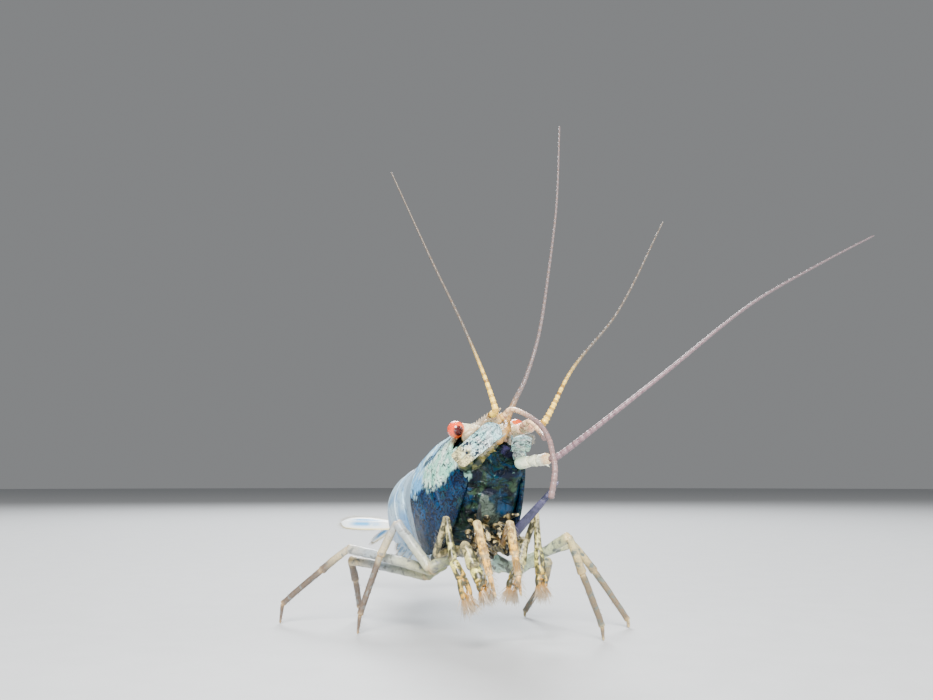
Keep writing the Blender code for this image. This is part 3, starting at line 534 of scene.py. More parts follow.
# The face and underside: near-black teal with arcs of green, and spots whose places the skin carries as marks
faceColours = {"dark": (0.0006, 0.002, 0.004), "teal": (0.002, 0.026, 0.042), "green": (0.008, 0.028, 0.014),
               # The navy colour is also painted shade, at one spot in the gap by the left antennal scale
               "navyAndShade": (0.0006, 0.002, 0.012), "paleAndHighlight": (0.22, 0.42, 0.34), "blue": (0.0035, 0.03, 0.075),
               # The pale colour is also a painted highlight, at one spot low on the face
               "olive": (0.02, 0.042, 0.02), "purple": (0.045, 0.04, 0.12), "lip": (0.075, 0.1, 0.08)}


def faceFinish():
    paint = Paint("faceFinish", faceColours, Roughness=0.3, **wetGloss)
    paint.colour = paint.mix(paint.mirrored(1.0, 3, 0.8).between(0.4, 0.6), "dark", "teal")
    paint.over(paint.patches(0.54, 0.66, 1.5, 3, 0.6) * 0.7, "blue")
    paint.over(paint.veins(0.9, 0.08, 1.8) * 0.8, "green")
    ragged = (paint.noise(1.8, 4, 0.8) - 0.5) * 0.5
    # The spots lay their colours: one pale spot is a painted highlight, one navy spot is painted shade in a
    # gap
    for spot in ("blue", "olive", "lip", "purple", "navyAndShade", "paleAndHighlight"):
        paint.over((paint.mark(spot) + ragged).between(0.3, 0.62) * 0.9, spot)
    paint.over(paint.veins(1.5, 0.05, 1.6) * (0.75 - paint.mark("lip") * 0.5), "dark")
    paint.over(paint.patches(0.66, 0.72, 3.4, 3, 1.0) * 0.4, "paleAndHighlight")
    paint.over(paint.patches(0.6, 0.68, 4.2, 2, 0.6) * 0.7, "dark")
    return paint.done(paint.noise(2.5, 4) + paint.veins(1.5, 0.05, 1.6) * -0.5, 0.09)


# One finish for jointed limbs: a darkish shell over blotches of flesh, whose colours run from root to tip
def limbFinish(name, stops, ring, shell, fleck, bare=0.4, rough=0.3, blotches=2.2, clear=1.0, soft=0.12):
    paint = Paint(name, Roughness=rough, Alpha=clear, **skinGloss, **softLight)
    reach = paint.mark("reach") + (paint.noise(1.5) - 0.5) * 0.14
    ramp = paint.node("ShaderNodeValToRGB", {}, {"Fac": reach})
    for i, (at, colour) in enumerate(stops):
        stop = ramp.color_ramp.elements[i] if i < 2 else ramp.color_ramp.elements.new(at)
        stop.position = at
        stop.color = (*colour, 1)
    flesh = paint.patches(0.3 + bare * 0.3, 0.3 + bare * 0.3 + soft, blotches, 3, 0.5)
    flesh = flesh * (0.72 + 0.28 * paint.patches(0.4, 0.55, blotches * 3, 2))
    paint.colour = paint.mix(flesh, shell, ramp.outputs["Color"])
    joint = paint.mark("joint") * (0.3 + paint.noise(3, 2) * 0.7)
    paint.over(joint, ring)
    flecks = paint.patches(0.62, 0.68, blotches * 4.5, 2, 0.3)
    paint.over(flecks * (0.3 + bare), fleck)
    return paint.done(paint.noise(6) + paint.noise(2, 2) * 0.7 + flesh * 0.5, 0.045)


# Feelers: fine rings along their length, strong near the root and fading ahead
def feelerFinish(name, near, band, far, pitch, blend):
    paint = Paint(name, Roughness=0.36, **skinGloss, **softLight)
    along = paint.mark("along")
    wave = paint.maths("SINE", along * (2 * pi / pitch))
    rings = wave.between(0.1, 0.7) * (1 - along.between(*blend) * 0.75)
    coarse = paint.maths("SINE", along * (2 * pi / (pitch * 5.3)) + paint.noise(1.2) * 3).between(0.2, 0.8)
    paint.colour = paint.mix(along.between(*blend), near, far)
    paint.over(rings * 0.55 + coarse * rings * 0.35, band)
    return paint.done(wave, 0.02)


# Eyes: glossy coral with fine facets, a dark patch ahead, and dark where the stalk begins
eyeColours = {"coral": (0.85, 0.065, 0.012), "lit": (1.0, 0.2, 0.032), "dark": (0.05, 0.002, 0.003),
              "facets": 16.0}


def eyeFinish(side):
    paint = Paint(sided("eyeFinish", side), eyeColours, Roughness=0.2, Coat_Weight=0.5, Coat_Roughness=0.06,
                  Subsurface_Weight=0.2, Subsurface_Scale=0.0003)
    net = paint.facets(eyeColours["facets"]).between(0.0, 0.012)
    paint.colour = paint.mix(paint.patches(0.35, 0.7, 2.2), "coral", "lit")
    paint.over((1 - net) * 0.25, "dark")
    paint.over(paint.mark("joint").between(0.05, 0.9), "dark")
    return paint.done(net, 0.01, 0.4)


# Antennal scales: mint white blades with dark flecks and a yellow root
scaleColours = {"mint": (0.46, 0.86, 0.82), "white": (0.94, 1.0, 0.97), "yellow": (0.84, 0.7, 0.26),
                "fleck": (0.006, 0.02, 0.04), "sky": (0.56, 0.92, 1.0)}


def scaleFinish(name, yellow):
    paint = Paint(name, scaleColours, Roughness=0.32, **skinGloss, **softLight)
    reach = paint.mark("reach")
    paint.colour = paint.mix(paint.patches(0.36, 0.64, 1.8, 4, 0.5), "mint", "white")
    paint.over((reach + (paint.noise(1.5) - 0.5) * 0.5).between(0.6, 0.95) * 0.6, "sky")
    root = 1 - (reach + (paint.noise(2.4) - 0.5) * 0.5).between(0.16, 0.42)
    paint.over(root * yellow, "yellow")
    flecks = paint.mirrored(2.6, 4, 1.8).between(0.53, 0.57) * (1 - reach.between(0.55, 0.95) * 0.8)
    paint.over(flecks, "fleck")
    paint.over(paint.patches(0.6, 0.64, 6.0, 2, 0.4) * 0.6, "fleck")
    paint.over(paint.veins(2.4, 0.05, 1.5) * 0.6, "fleck")
    edge = paint.mark("share").between(0.9, 0.99)
    paint.over(edge * paint.patches(0.4, 0.55, 2.0) * 0.9, "fleck")
    relief = paint.mirrored(6.0, 3, 1.0) * 1.5 + paint.noise(5) + paint.mark("joint") * 2
    return paint.done(relief, 0.07)


# Bristles: clear and whitish, tinted where they root
def bristleFinish(name, root, tip, clear):
    paint = Paint(name, Roughness=0.3, Alpha=clear, IOR=1.4, Coat_Weight=0.3)
    paint.colour = paint.mix(paint.mark("reach").between(0.1, 0.85), root, tip)
    return paint.done()


brown = (0.03, 0.014, 0.006)
ink = (0.004, 0.008, 0.01)
# Limbs: colours and their places from root to tip, joint rings, bare shell, flecks, and how bare the shell is
limbLooks = {
    "walkingRight": (
        ((0.0, (0.22, 0.26, 0.12)), (0.14, (0.48, 0.48, 0.3)), (0.4, (0.33, 0.38, 0.42)),
         (0.56, (0.58, 0.48, 0.28)), (0.66, (0.13, 0.095, 0.07)), (1.0, (0.12, 0.08, 0.055))),
        (0.76, 0.52, 0.24), (0.18, 0.19, 0.18), brown, 0.1),
    "walkingLeft": (
        ((0.0, (0.26, 0.46, 0.44)), (0.14, (0.56, 0.72, 0.56)), (0.4, (0.44, 0.48, 0.28)),
         (0.56, (0.56, 0.44, 0.2)), (0.66, (0.2, 0.15, 0.08)), (1.0, (0.16, 0.11, 0.07))),
        (0.82, 0.6, 0.26), (0.12, 0.14, 0.12), ink, 0.25),
    "chelaLimb": (
        ((0.0, (0.2, 0.16, 0.06)), (0.35, (0.5, 0.43, 0.21)), (0.6, (0.62, 0.54, 0.25)),
         (0.85, (0.84, 0.8, 0.21)), (0.93, (0.66, 0.42, 0.05)), (1.0, (0.48, 0.2, 0.018))),
        (0.42, 0.36, 0.19), (0.05, 0.05, 0.028), brown, 0.4),
    "jawLeg": (
        ((0.0, (0.2, 0.09, 0.025)), (0.3, (0.5, 0.3, 0.1)), (0.45, (0.86, 0.66, 0.22)),
         (0.62, (0.9, 0.47, 0.03)), (1.0, (0.86, 0.46, 0.12))),
        (0.88, 0.7, 0.36), (0.24, 0.14, 0.04), (0.1, 0.03, 0.005), 0.5),
    "mouth": (
        ((0.0, (0.03, 0.03, 0.015)), (0.5, (0.27, 0.22, 0.1)), (1.0, (0.46, 0.37, 0.17))),
        (0.38, 0.29, 0.13), (0.004, 0.005, 0.004), ink, 0.7),
    "peduncleRight": (
        ((0.0, (0.2, 0.1, 0.03)), (0.45, (0.4, 0.19, 0.045)), (1.0, (0.66, 0.38, 0.1))),
        (0.7, 0.5, 0.22), (0.16, 0.08, 0.025), brown, 0.3),
    "peduncleLeft": (
        ((0.22, (0.08, 0.07, 0.06)), (0.45, (0.95, 0.82, 0.52)), (1.0, (0.97, 0.76, 0.48))),
        (0.86, 0.36, 0.26), (0.78, 0.52, 0.36), brown, 0.2),
    "antennaRootRight": (
        ((0.0, (0.06, 0.08, 0.03)), (0.4, (0.3, 0.28, 0.08)), (1.0, (0.4, 0.28, 0.07))),
        (0.3, 0.24, 0.07), (0.012, 0.03, 0.02), ink, 0.65),
    "antennaRootLeft": (
        ((0.0, (0.3, 0.56, 0.4)), (0.3, (0.93, 1.0, 0.74)), (0.82, (1.0, 1.0, 0.8)),
         (0.95, (0.85, 0.3, 0.03))),
        (0.9, 0.86, 0.56), (0.3, 0.5, 0.36), (0.03, 0.06, 0.05), 0.02),
    "eyestalk": (((0.0, (0.74, 0.63, 0.34)), (1.0, (1.0, 0.88, 0.64))),
                 (0.86, 0.7, 0.42), (0.5, 0.44, 0.28), brown, 0.15),
    "brow": (((0.0, (0.4, 0.28, 0.14)), (1.0, (0.78, 0.6, 0.36))),
             (0.8, 0.66, 0.4), (0.3, 0.24, 0.14), ink, 0.3),
    "blade": (((0.0, (0.02, 0.022, 0.05)), (0.5, (0.055, 0.055, 0.12)), (1.0, (0.12, 0.11, 0.19))),
              (0.08, 0.08, 0.16), (0.025, 0.027, 0.06), ink, 0.3),
    "bladeDark": (((0.0, (0.004, 0.008, 0.01)), (1.0, (0.02, 0.035, 0.045))),
                  (0.02, 0.03, 0.04), (0.006, 0.01, 0.012), ink, 0.3),
    "paddle": (((0.0, (0.3, 0.5, 0.66)), (1.0, (0.7, 0.82, 0.9))),
               (0.7, 0.82, 0.88), (0.16, 0.32, 0.5), (0.03, 0.1, 0.28), 0.4),
}
# Limbs that differ from the rest in how rough or clear they are, or in their blotches
limbExtras = {"chelaLimb": {"blotches": 3.2, "soft": 0.2}, "jawLeg": {"blotches": 3.8},
              "mouth": {"rough": 0.5, "blotches": 4.0}, "blade": {"clear": 0.85}}
# Feelers: colours near the root, of the rings and far out, the rings' pitch, and where near turns into far
feelerLooks = {
    "antennule": ((1.0, 0.66, 0.1), (0.16, 0.06, 0.012), (0.12, 0.1, 0.08), 0.42, (1.6, 5)),
    "antenna": ((0.22, 0.14, 0.155), (0.12, 0.07, 0.085), (0.12, 0.09, 0.095), 0.36, (3, 18)),
    "antennaRight": ((0.44, 0.24, 0.055), (0.2, 0.1, 0.022), (0.14, 0.11, 0.11), 0.36, (1.2, 4)),
    "innerWhip": ((0.9, 0.62, 0.36), (0.36, 0.18, 0.14), (0.21, 0.14, 0.135), 0.38, (0.5, 2.6)),
}
# Bristles: the colours at root and tip, and how solid they look
bristleLooks = {"clearBristle": ((0.34, 0.17, 0.02), (0.37, 0.3, 0.21), 1.0),
                "paleBristle": ((0.4, 0.36, 0.26), (0.6, 0.58, 0.52), 0.8)}
# How yellow the roots of the two antennal scales are
scaleYellow = {"right": 0.85, "left": 0.15}

print("making finishes")
finishes = {"shield": shieldFinish(), "pleon": pleonFinish(), "tail": tailFinish(), "face": faceFinish()}
for bodySide, yellow in scaleYellow.items():
    finishes[sided("scale", bodySide)] = scaleFinish(sided("scale", bodySide) + "Finish", yellow)
    finishes[sided("eye", bodySide)] = eyeFinish(bodySide)
for make, looks in ((limbFinish, limbLooks), (feelerFinish, feelerLooks), (bristleFinish, bristleLooks)):
    for finishName, look in looks.items():
        finishes[finishName] = make(finishName + "Finish", *look, **limbExtras.get(finishName, {}))


# The shield, arched from one lower edge over the back to the other. Its rim is beaded, a groove runs down
# behind the head, and the rear band lies a step deeper.
shieldSpec = {
    "columns": 210, "rows": 120, "thickness": 0.2,
    "bead": 0.05, "beadWidth": 0.16, "beadHollow": 0.03,
    "grooveDepth": 0.05, "grooveWidth": 0.16, "grooveStation": -2.9, "grooveLean": 1.4,
    "bandStep": 0.045, "bandEdge": 0.025, "swells": 0.03, "grain": 0.008,
}


def makeShield():
    spec = shieldSpec
    bm = newForm()
    bmesh.ops.create_grid(bm, x_segments=spec["columns"], y_segments=spec["rows"], size=1)
    for vert in bm.verts:
        q = vert.co.x
        share = abs(q)
        ahead = (vert.co.y + 1) / 2
        station = curveAt(plan["rearEdge"], share) * (1 - ahead) + curveAt(plan["frontEdge"], share) * ahead
        edgeNear = min((1 - share) * 5, (1 - ahead) * 7, ahead * 7)
        bead = spec["bead"] * hump(edgeNear, 0, spec["beadWidth"])
        raised = bead - spec["beadHollow"] * hump(edgeNear, 0.4, spec["beadWidth"])
        fromGroove = station - spec["grooveStation"] - spec["grooveLean"] * (share - 0.3)
        fading = clamp(min((share - 0.12) * 6, (0.8 - share) * 6))
        raised -= spec["grooveDepth"] * hump(fromGroove, 0, spec["grooveWidth"]) * fading
        behind = -(station + shieldColours["lineStation"] + 0.25 * max(share - 0.6, 0) / 0.4)
        raised -= spec["bandStep"] / (1 + exp(-behind / spec["bandEdge"])) * min(share * 4, 1)
        raised += spec["swells"] * swell(q * 3, station * 0.8, 4)
        raised += spec["grain"] * swell(q * 16, station * 5, 1)
        setMarks(bm, vert, along=station, share=share, reach=ahead)
        vert.co = shieldPoint(q, station, raised)
    bmesh.ops.reverse_faces(bm, faces=bm.faces)
    shield = placePiece("shield", meshOf("shield", bm), "shield", "blue_shell", "carapace")
    thicken = shield.modifiers.new("thickness", "SOLIDIFY")
    thicken.thickness = spec["thickness"] * mm
    thicken.offset = -1


# The rostrum: a thin blade between the eyes, with saw teeth that lean ahead on its upper edge and a few below
rostrumSpec = {
    "rings": (70, 20), "start": -1.9, "tip": 2.3, "depth": 0.62, "half": 0.16,
    "teeth": 11, "toothHeight": 0.26, "toothLean": 0.85, "toothRadius": 0.34,
    "lowerTeeth": 3, "lowerStart": 1.3, "lowerPitch": 0.4,
    "free": -0.6, "rise": 0.12, "fall": 0.17, "curl": 0.03,
}


def rostrumTop(station):
    spec = rostrumSpec
    ahead = max(station - spec["free"], 0)
    onShield = curveAt(plan["ridge"], min(station, spec["free"]))
    return onShield + spec["rise"] - spec["fall"] * ahead - spec["curl"] * ahead * ahead


def makeRostrum():
    spec = rostrumSpec
    bm = newForm()
    reach = spec["tip"] - spec["start"]

    def place(u, turn):
        station = spec["start"] + reach * u
        depth = spec["depth"] * (1 - u) ** 0.6 + 0.08
        half = spec["half"] * (1 - u) ** 0.5 + 0.025
        down = (1 - sin(turn)) / 2
        x = half * cos(turn) * (0.5 + 0.7 * hump(down, 0.62, 0.2))
        point = bodyPoint(x, station, rostrumTop(station) - 0.02 - depth * down)
        return point, {"along": station, "share": 0.1 + 0.25 * down, "reach": u}

    addColumn(bm, *spec["rings"], place)
    for i in range(spec["teeth"]):
        station = spec["start"] + 0.4 + i * (reach - 0.95) / (spec["teeth"] - 1)
        size = spec["toothHeight"] * (1 - 0.4 * i / spec["teeth"])
        ahead = station + size * spec["toothLean"]
        root = bodyPoint(0, station, rostrumTop(station) - 0.1)
        tip = bodyPoint(0, ahead, rostrumTop(ahead) + size * 0.5)
        addSpine(bm, root, tip, size * spec["toothRadius"], 8, along=station, share=0.1)
    for i in range(spec["lowerTeeth"]):
        station = spec["tip"] - spec["lowerStart"] + i * spec["lowerPitch"]
        low = rostrumTop(station) - spec["depth"] * ((spec["tip"] - station) / reach) ** 0.6 - 0.05
        root = bodyPoint(0, station, low + 0.06)
        tip = bodyPoint(0, station + 0.16, low - 0.1)
        addSpine(bm, root, tip, 0.06, 8, along=station, share=0.3)
    finishPiece("rostrum", bm, "shield", "blue_shell")


# The flesh between the shield's edges: a hollowed face that slopes back to the jaws
fleshSpec = {
    "rings": (170, 170), "rear": -6.75, "front": 0.62, "closing": 0.05, "wall": 0.23, "ridgeGap": 0.1,
    "browDrop": 0.75, "browFrom": -1.1, "browLength": 0.9,
    "sideSquare": 0.45, "topSquare": 0.6, "keel": 0.2, "keelAt": -0.35, "keelWidth": 0.45, "middle": -0.3,
    "folds": 0.1, "lumps": 0.07, "spotsBehind": 4, "spotFade": 0.7,
}
# Mounds and hollows: place on the body, width, rise
faceReliefs = (
    ((-1.25, 0.3, -2.0), 0.5, 0.24), ((1.2, 0.35, -2.0), 0.5, 0.26), ((-1.3, 0.15, -2.35), 0.35, 0.1),
    ((0.45, 0.42, -2.25), 0.5, 0.14), ((-0.75, 0.2, -2.6), 0.2, 0.14), ((-0.4, -0.1, -3.0), 0.25, -0.16),
    ((-1.25, -0.6, -2.95), 0.45, 0.16), ((1.0, -0.5, -2.95), 0.45, 0.16), ((-0.3, 0.5, -1.6), 0.45, 0.1),
    ((-0.35, 0.4, -2.15), 0.22, -0.14), ((-1.1, -1.4, -3.6), 0.4, 0.1), ((0.85, -1.3, -3.6), 0.4, 0.12),
    ((-0.6, -0.4, -3.2), 0.3, 0.26), ((-0.35, -1.0, -3.6), 0.5, 0.34), ((-0.1, -1.6, -3.9), 0.6, 0.3),
)
# Coloured spots: place on the body and the three radii of each
faceSpots = {
    # The third navy spot, between the left antennal scale and antennule, is painted shade in the gap there;
    # the others are dark marks of the face
    "navyAndShade": (((-1.25, 0.2, -2.3), (0.34, 0.4, 0.2)), ((0.5, 0.4, -2.25), (0.6, 0.4, 0.2)),
             ((0.94, 0.56, -1.24), (0.26, 0.4, 0.34)), ((-0.35, -0.1, -3.0), (0.45, 0.3, 0.12))),
    "olive": (((-0.75, 0.25, -2.55), (0.12, 0.4, 0.36)), ((-1.0, -0.3, -2.85), (0.5, 0.4, 0.1)),
              ((0.2, 0.1, -2.9), (0.45, 0.4, 0.1)), ((1.05, -0.2, -2.7), (0.26, 0.4, 0.2)),
              ((-0.9, -1.2, -3.3), (0.4, 0.5, 0.16))),
    "blue": (((1.5, -0.6, -2.6), (0.4, 0.7, 0.5)), ((0.75, -1.1, -3.4), (0.5, 0.7, 0.4)),
             ((-1.45, -0.6, -2.9), (0.3, 0.5, 0.4))),
    "lip": (((-0.62, -0.35, -3.2), (0.16, 0.5, 0.3)), ((-0.4, -0.9, -3.5), (0.36, 0.5, 0.3)),
            ((-0.1, -1.4, -3.8), (0.7, 0.6, 0.3))),
    # The last pale spot, low on the face, is a painted highlight; the other two are pale marks of the face
    "paleAndHighlight": (((-1.62, 0.0, -2.2), (0.2, 0.5, 0.32)), ((-0.5, 0.58, -1.25), (0.1, 0.3, 0.3)),
              ((0.2, -0.75, -3.4), (0.08, 0.3, 0.26))),
    "purple": (((0.8, 0.56, -1.05), (0.28, 0.4, 0.38)),),
}


def makeFlesh():
    spec = fleshSpec
    bm = newForm()

    def place(u, turn):
        station = spec["rear"] + (spec["front"] - spec["rear"]) * u
        half = curveAt(plan["width"], station) - spec["wall"]
        brow = clamp((station - spec["browFrom"]) / spec["browLength"])
        ridge = curveAt(plan["ridge"], station) - spec["wall"] - spec["ridgeGap"] - spec["browDrop"] * brow
        edge = curveAt(plan["fleshEdge"], station)
        across = cos(turn)
        rise = sin(turn)
        middle = (ridge + edge) / 2
        height = middle + (ridge - edge) / 2 * copysign(abs(rise) ** spec["topSquare"], rise)
        inside = max(shieldHalf(station, height + spec["wall"]) - spec["wall"], 0.05)
        x = clamp(half * copysign(abs(across) ** spec["sideSquare"], across), -inside, inside)
        closing = roundEnds(u, spec["closing"], spec["closing"])
        aside = x - spec["middle"]
        lumps = swell(abs(aside) * 1.5, station * 1.3, 7) * spec["folds"] * max(-rise + 0.4, 0)
        lumps += spec["lumps"] * swell(x * 3.0, station * 3.0, height * 2.5)
        keel = spec["keel"] * hump(x, spec["keelAt"], spec["keelWidth"]) * max(-rise, 0)
        point = bodyPoint(x * closing, station, middle + (height - middle) * closing - keel + lumps)
        return point, {"along": station + height * 0.5, "share": abs(aside), "reach": u}

    addColumn(bm, *spec["rings"], place)
    for name in faceSpots:
        bm.verts.layers.float.new(name)
    bmesh.ops.recalc_face_normals(bm, faces=bm.faces)
    bm.normal_update()
    back, left, up = heading(0)
    reliefs = [(bodyPoint(*centre), width, rise) for centre, width, rise in faceReliefs]
    spots = [(bm.verts.layers.float[name], bodyPoint(*centre), radii)
             for name, places in faceSpots.items() for centre, radii in places]
    for vert in bm.verts:
        if vert.co.y > spec["spotsBehind"]:
            continue
        for layer, centre, radii in spots:
            away = vert.co - centre
            part = (away.dot(left) / radii[0], away.dot(back) / radii[1], away.dot(up) / radii[2])
            vert[layer] = max(vert[layer], exp(-sum(v * v for v in part) * spec["spotFade"]))
        raised = sum(rise * hump((vert.co - centre).length, 0, width) for centre, width, rise in reliefs)
        vert.co += vert.normal * raised
    finishPiece("face", bm, "face", "dark_flesh", "thorax")


# Forms on the face: the beds of the eyes, the brow and the roots of the antennal scales
faceLumps = {
    "eyeBedRight": ((-0.85, 0.3, 0.0), (0.6, 0.5, 0.42), "brow"),
    "eyeBedLeft": ((0.85, 0.3, 0.0), (0.6, 0.5, 0.42), "brow"),
    "browMiddle": ((0.0, 0.55, 0.1), (0.6, 0.7, 0.4), "brow"),
    "scaleRootRight": ((-1.75, 0.65, -1.88), (0.42, 0.45, 0.3), "antennaRootRight"),
    "scaleRootLeft": ((1.2, 1.0, -1.5), (0.32, 0.42, 0.3), "scaleLeft"),
}
lumpSpec = {"subdivisions": 5, "coarse": 0.12, "coarseScale": 1.7, "fine": 0.03, "fineScale": 5}


def makeFaceLumps():
    spec = lumpSpec
    back, left, up = heading(0)
    for name, (centre, halves, finish) in faceLumps.items():
        bm = newForm()
        bmesh.ops.create_icosphere(bm, subdivisions=spec["subdivisions"], radius=1)
        for vert in newVerts(bm):
            lump = 1 + spec["coarse"] * noise.noise(vert.co * spec["coarseScale"] + Vector(centre))
            lump += spec["fine"] * noise.noise(vert.co * spec["fineScale"])
            x, ahead, rise = (a * b * lump for a, b in zip(vert.co, halves))
            setMarks(bm, vert, reach=0.5 + rise / halves[2] / 2)
            vert.co = bodyPoint(*centre) + left * x - back * ahead + up * rise
        finishPiece(name, bm, finish, "dark_flesh")


# Rings of the abdomen, each with its front tucked under the one ahead and a bead along its rear rim. The
# plate covers a share of the half turn, and the rest is belly.
pleonSpec = {
    "rings": (40, 120), "tuckUnder": 0.42, "rearFlare": 1.03, "frontScale": 0.86, "plate": 0.72,
    "flap": 0.35, "bellyRise": 0.55, "bead": 0.02, "beadAt": 0.95, "grain": 0.008, "rimAt": 0.96,
}


def pleonEdgeStation(joint, share):
    base = -plan["carapaceLength"] - sum(plan["pleonLengths"][:joint])
    if joint == 0:
        return min(curveAt(plan["rearEdge"], min(share, 0.6)), base) - 0.05 * share
    return base + plan["edgeShift"][joint] * share * share


def makePleonRing(number):
    spec = pleonSpec
    bm = newForm()
    plate = spec["plate"]

    def place(u, turn):
        q = ((turn + 1.5 * pi) % (2 * pi)) / pi - 1
        turned = (pi / 2 - turn + pi) % (2 * pi) - pi
        around = abs(turned) / (pi * plate)
        share = min(around, 1)
        belly = max(around - 1, 0) / (1 / plate - 1)
        front = pleonEdgeStation(number - 1, share * (1 - belly)) + spec["tuckUnder"] * (1 - belly)
        rear = pleonEdgeStation(number, share * (1 - belly)) + 0.04
        station = front + (rear - front) * u
        edge = curveAt(plan["pleonEdge"], station) - spec["flap"] * sin(pi * u) * share**4
        x, height = sectionAt(curveAt(plan["width"], station), curveAt(plan["ridge"], station), edge, share)
        if belly > 0:
            x *= 1 - belly
            height += spec["bellyRise"] * sin(min(belly * 1.6, 1) * pi / 2)
        tucked = 1 - (1 - spec["frontScale"]) * max(1 - u / 0.2, 0) ** 1.5
        flare = tucked * (1 + (spec["rearFlare"] - 1) * u) * (0.35 + 0.65 * roundEnds(u, 0.03, 0.03))
        flare += spec["bead"] * hump(u, spec["beadAt"], 0.025) + spec["grain"] * swell(q * 4, station, number)
        rim = hump(u, spec["rimAt"], 0.03) * 0.8
        point = bodyPoint(copysign(x, turned) * flare, station, height * flare)
        return point, {"along": station, "share": share, "reach": u, "joint": rim}

    addColumn(bm, *spec["rings"], place)
    finishPiece("pleonRing%d" % number, bm, "pleon", "pale_shell", "pleon_%d" % number)


# How wide a blade is at a share of its length: a tapering one, or one that is blunt to the end
def bladeWidth(u, blunt):
    tapering = (0.5 + 0.95 * u - 0.8 * u**3) * roundEnds(u, 0.04, 0.16)
    return tapering * (1 - blunt) + blunt * (0.8 + 0.4 * u - 0.3 * u * u) * roundEnds(u, 0.05, 0.14)


# A blade with a rib down its middle and a fainter one beside it, slightly bowed and cupped
bladeSpec = {"ribWidth": 0.12, "sideRib": 0.5, "bow": 0.12, "cup": 0.18}


def addBlade(bm, root, along, up, length, halfWidth, thickness, rows, segments, rib=0.05, blunt=0.0):
    spec = bladeSpec
    along = along.normalized()
    side = along.cross(up).normalized()
    lift = side.cross(along)

    def place(u, turn):
        x = cos(turn)
        z = sin(turn)
        wide = halfWidth * bladeWidth(u, blunt)
        thick = thickness / 2 * (1 - 0.45 * u) * (0.25 + 0.75 * (1 - abs(x) ** 2.2)) * roundEnds(u, 0.05, 0.1)
        ribbed = rib * hump(x, 0, spec["ribWidth"]) * (1 - u)
        ribbed += rib * spec["sideRib"] * hump(x, 0.5, 0.1) * (1 - u)
        centre = root + along * length * u + lift * spec["bow"] * sin(u * pi) * halfWidth
        height = copysign(thick + ribbed if z else 0, z) * abs(z) ** 0.5
        point = centre + side * wide * x + lift * (height - spec["cup"] * halfWidth * x * x)
        return point, {"along": u * length, "reach": u, "share": abs(x), "joint": hump(x, 0, 0.1)}

    addColumn(bm, rows, segments, place)


# Tail piece and fan. A fan blade has its spread, lift and roll in degrees, then its length and half width.
telsonSpec = {"rings": (60, 40), "length": 3.7, "half": 0.66, "arch": 0.3, "ridge": 0.05,
              "spines": 5, "sideSpines": 4}
fanSpec = {"blades": ((62, 5, 52, 4.8, 0.68), (32, -14, 58, 3.7, 0.5)), "thickness": 0.26, "rings": (44, 28),
           "hubFrom": (0.45, 0.05, -0.4), "hubAt": (0.5, -0.28, -0.42), "hubBack": 0.5, "hubOut": 0.12,
           "hubRadius": 0.34, "hubRings": (14, 20), "rootDepth": 0.15, "lengthen": 0.1}


def makeTelson():
    spec = telsonSpec
    back, left, up = heading(pleonEnd - spec["length"] / 2)
    bm = newForm()
    start = pleonEnd - 0.05

    def place(u, turn):
        station = start - (spec["length"] + 0.2) * u
        wide = (spec["half"] * (1 - 0.5 * u)) * roundEnds(u, 0.05, 0.06)
        arch = spec["arch"] * (1 - 0.4 * u) * roundEnds(u, 0.05, 0.08)
        x = cos(turn)
        ridge = spec["ridge"] * hump(abs(x), 0.45, 0.1)
        height = 0.42 - 0.1 * u + (arch + ridge) * sin(turn) - 0.2 * x * x * (1 - u)
        marks = {"along": u, "reach": u, "share": abs(x), "joint": ridge * 12}
        return bodyPoint(x * wide, station, height), marks

    addColumn(bm, *spec["rings"], place)
    tail = bodyPoint(0, start - spec["length"] - 0.1, 0.35)
    for i in range(spec["spines"]):
        lean = (i / (spec["spines"] - 1) - 0.5) * 0.55
        root = tail + left * lean
        addSpine(bm, root, root + (back + left * lean * 0.8).normalized() * 0.3, 0.035, reach=1, share=0.9)
    for i in range(spec["sideSpines"]):
        station = start - spec["length"] * (0.35 + 0.15 * i)
        for sign in sides.values():
            root = bodyPoint(sign * 0.3, station, 0.6 - 0.06 * i)
            addSpine(bm, root, root + back * 0.16 + up * 0.05, 0.03, reach=0.6, share=0.9)
    finishPiece("telson", bm, "tail", "tail_white", "telson")


# The two blades of each side on their hub; gives the blades, for their fringes
def makeTailFan():
    spec = fanSpec
    back, left, up = heading(pleonEnd)
    blades = []
    for side, sign in sides.items():
        out = left * sign
        bm = newForm()
        ends = [bodyPoint(sign * x, pleonEnd + ahead, rise)
                for x, ahead, rise in (spec["hubFrom"], spec["hubAt"])]
        hub = ends[1] + back * spec["hubBack"] + out * spec["hubOut"]
        addPeg(bm, ends[0], hub, spec["hubRadius"], (0.1, 0.3),
               lambda u, turn: {"reach": 0.1, "share": 0.5}, *spec["hubRings"])
        for spread, lift, roll, length, halfWidth in spec["blades"]:
            spread = radians(spread)
            lift = radians(lift)
            along = (back * cos(spread) + out * sin(spread)) * cos(lift) + up * sin(lift)
            facing = Matrix.Rotation(radians(sign * roll), 3, along) @ up
            root = hub - along * spec["rootDepth"]
            length += spec["lengthen"]
            addBlade(bm, root, along, facing, length, halfWidth, spec["thickness"], *spec["rings"])
            blades.append((root, along, facing, length, halfWidth))
        finishPiece(sided("uropods", side), bm, "tail", "tail_white", "uropods_" + side)
    return blades


# Eyes on their stalks; the dark patch faces ahead and a little down
eyeSpec = {
    "radius": 0.45, "subdivisions": 5, "patchAim": (-0.06, -0.98, -0.17), "patchSize": 0.28,
    "patchEdge": 0.17, "rimAt": 0.78, "rimEdge": 0.1,
    "stalkRoot": (0.45, 0.45, 0.22), "stalkRadius": 0.24, "stalkFlare": 0.17, "stalkRings": (40, 32),
    "stalkBend": 0.06, "stalkEnd": 0.72,
}


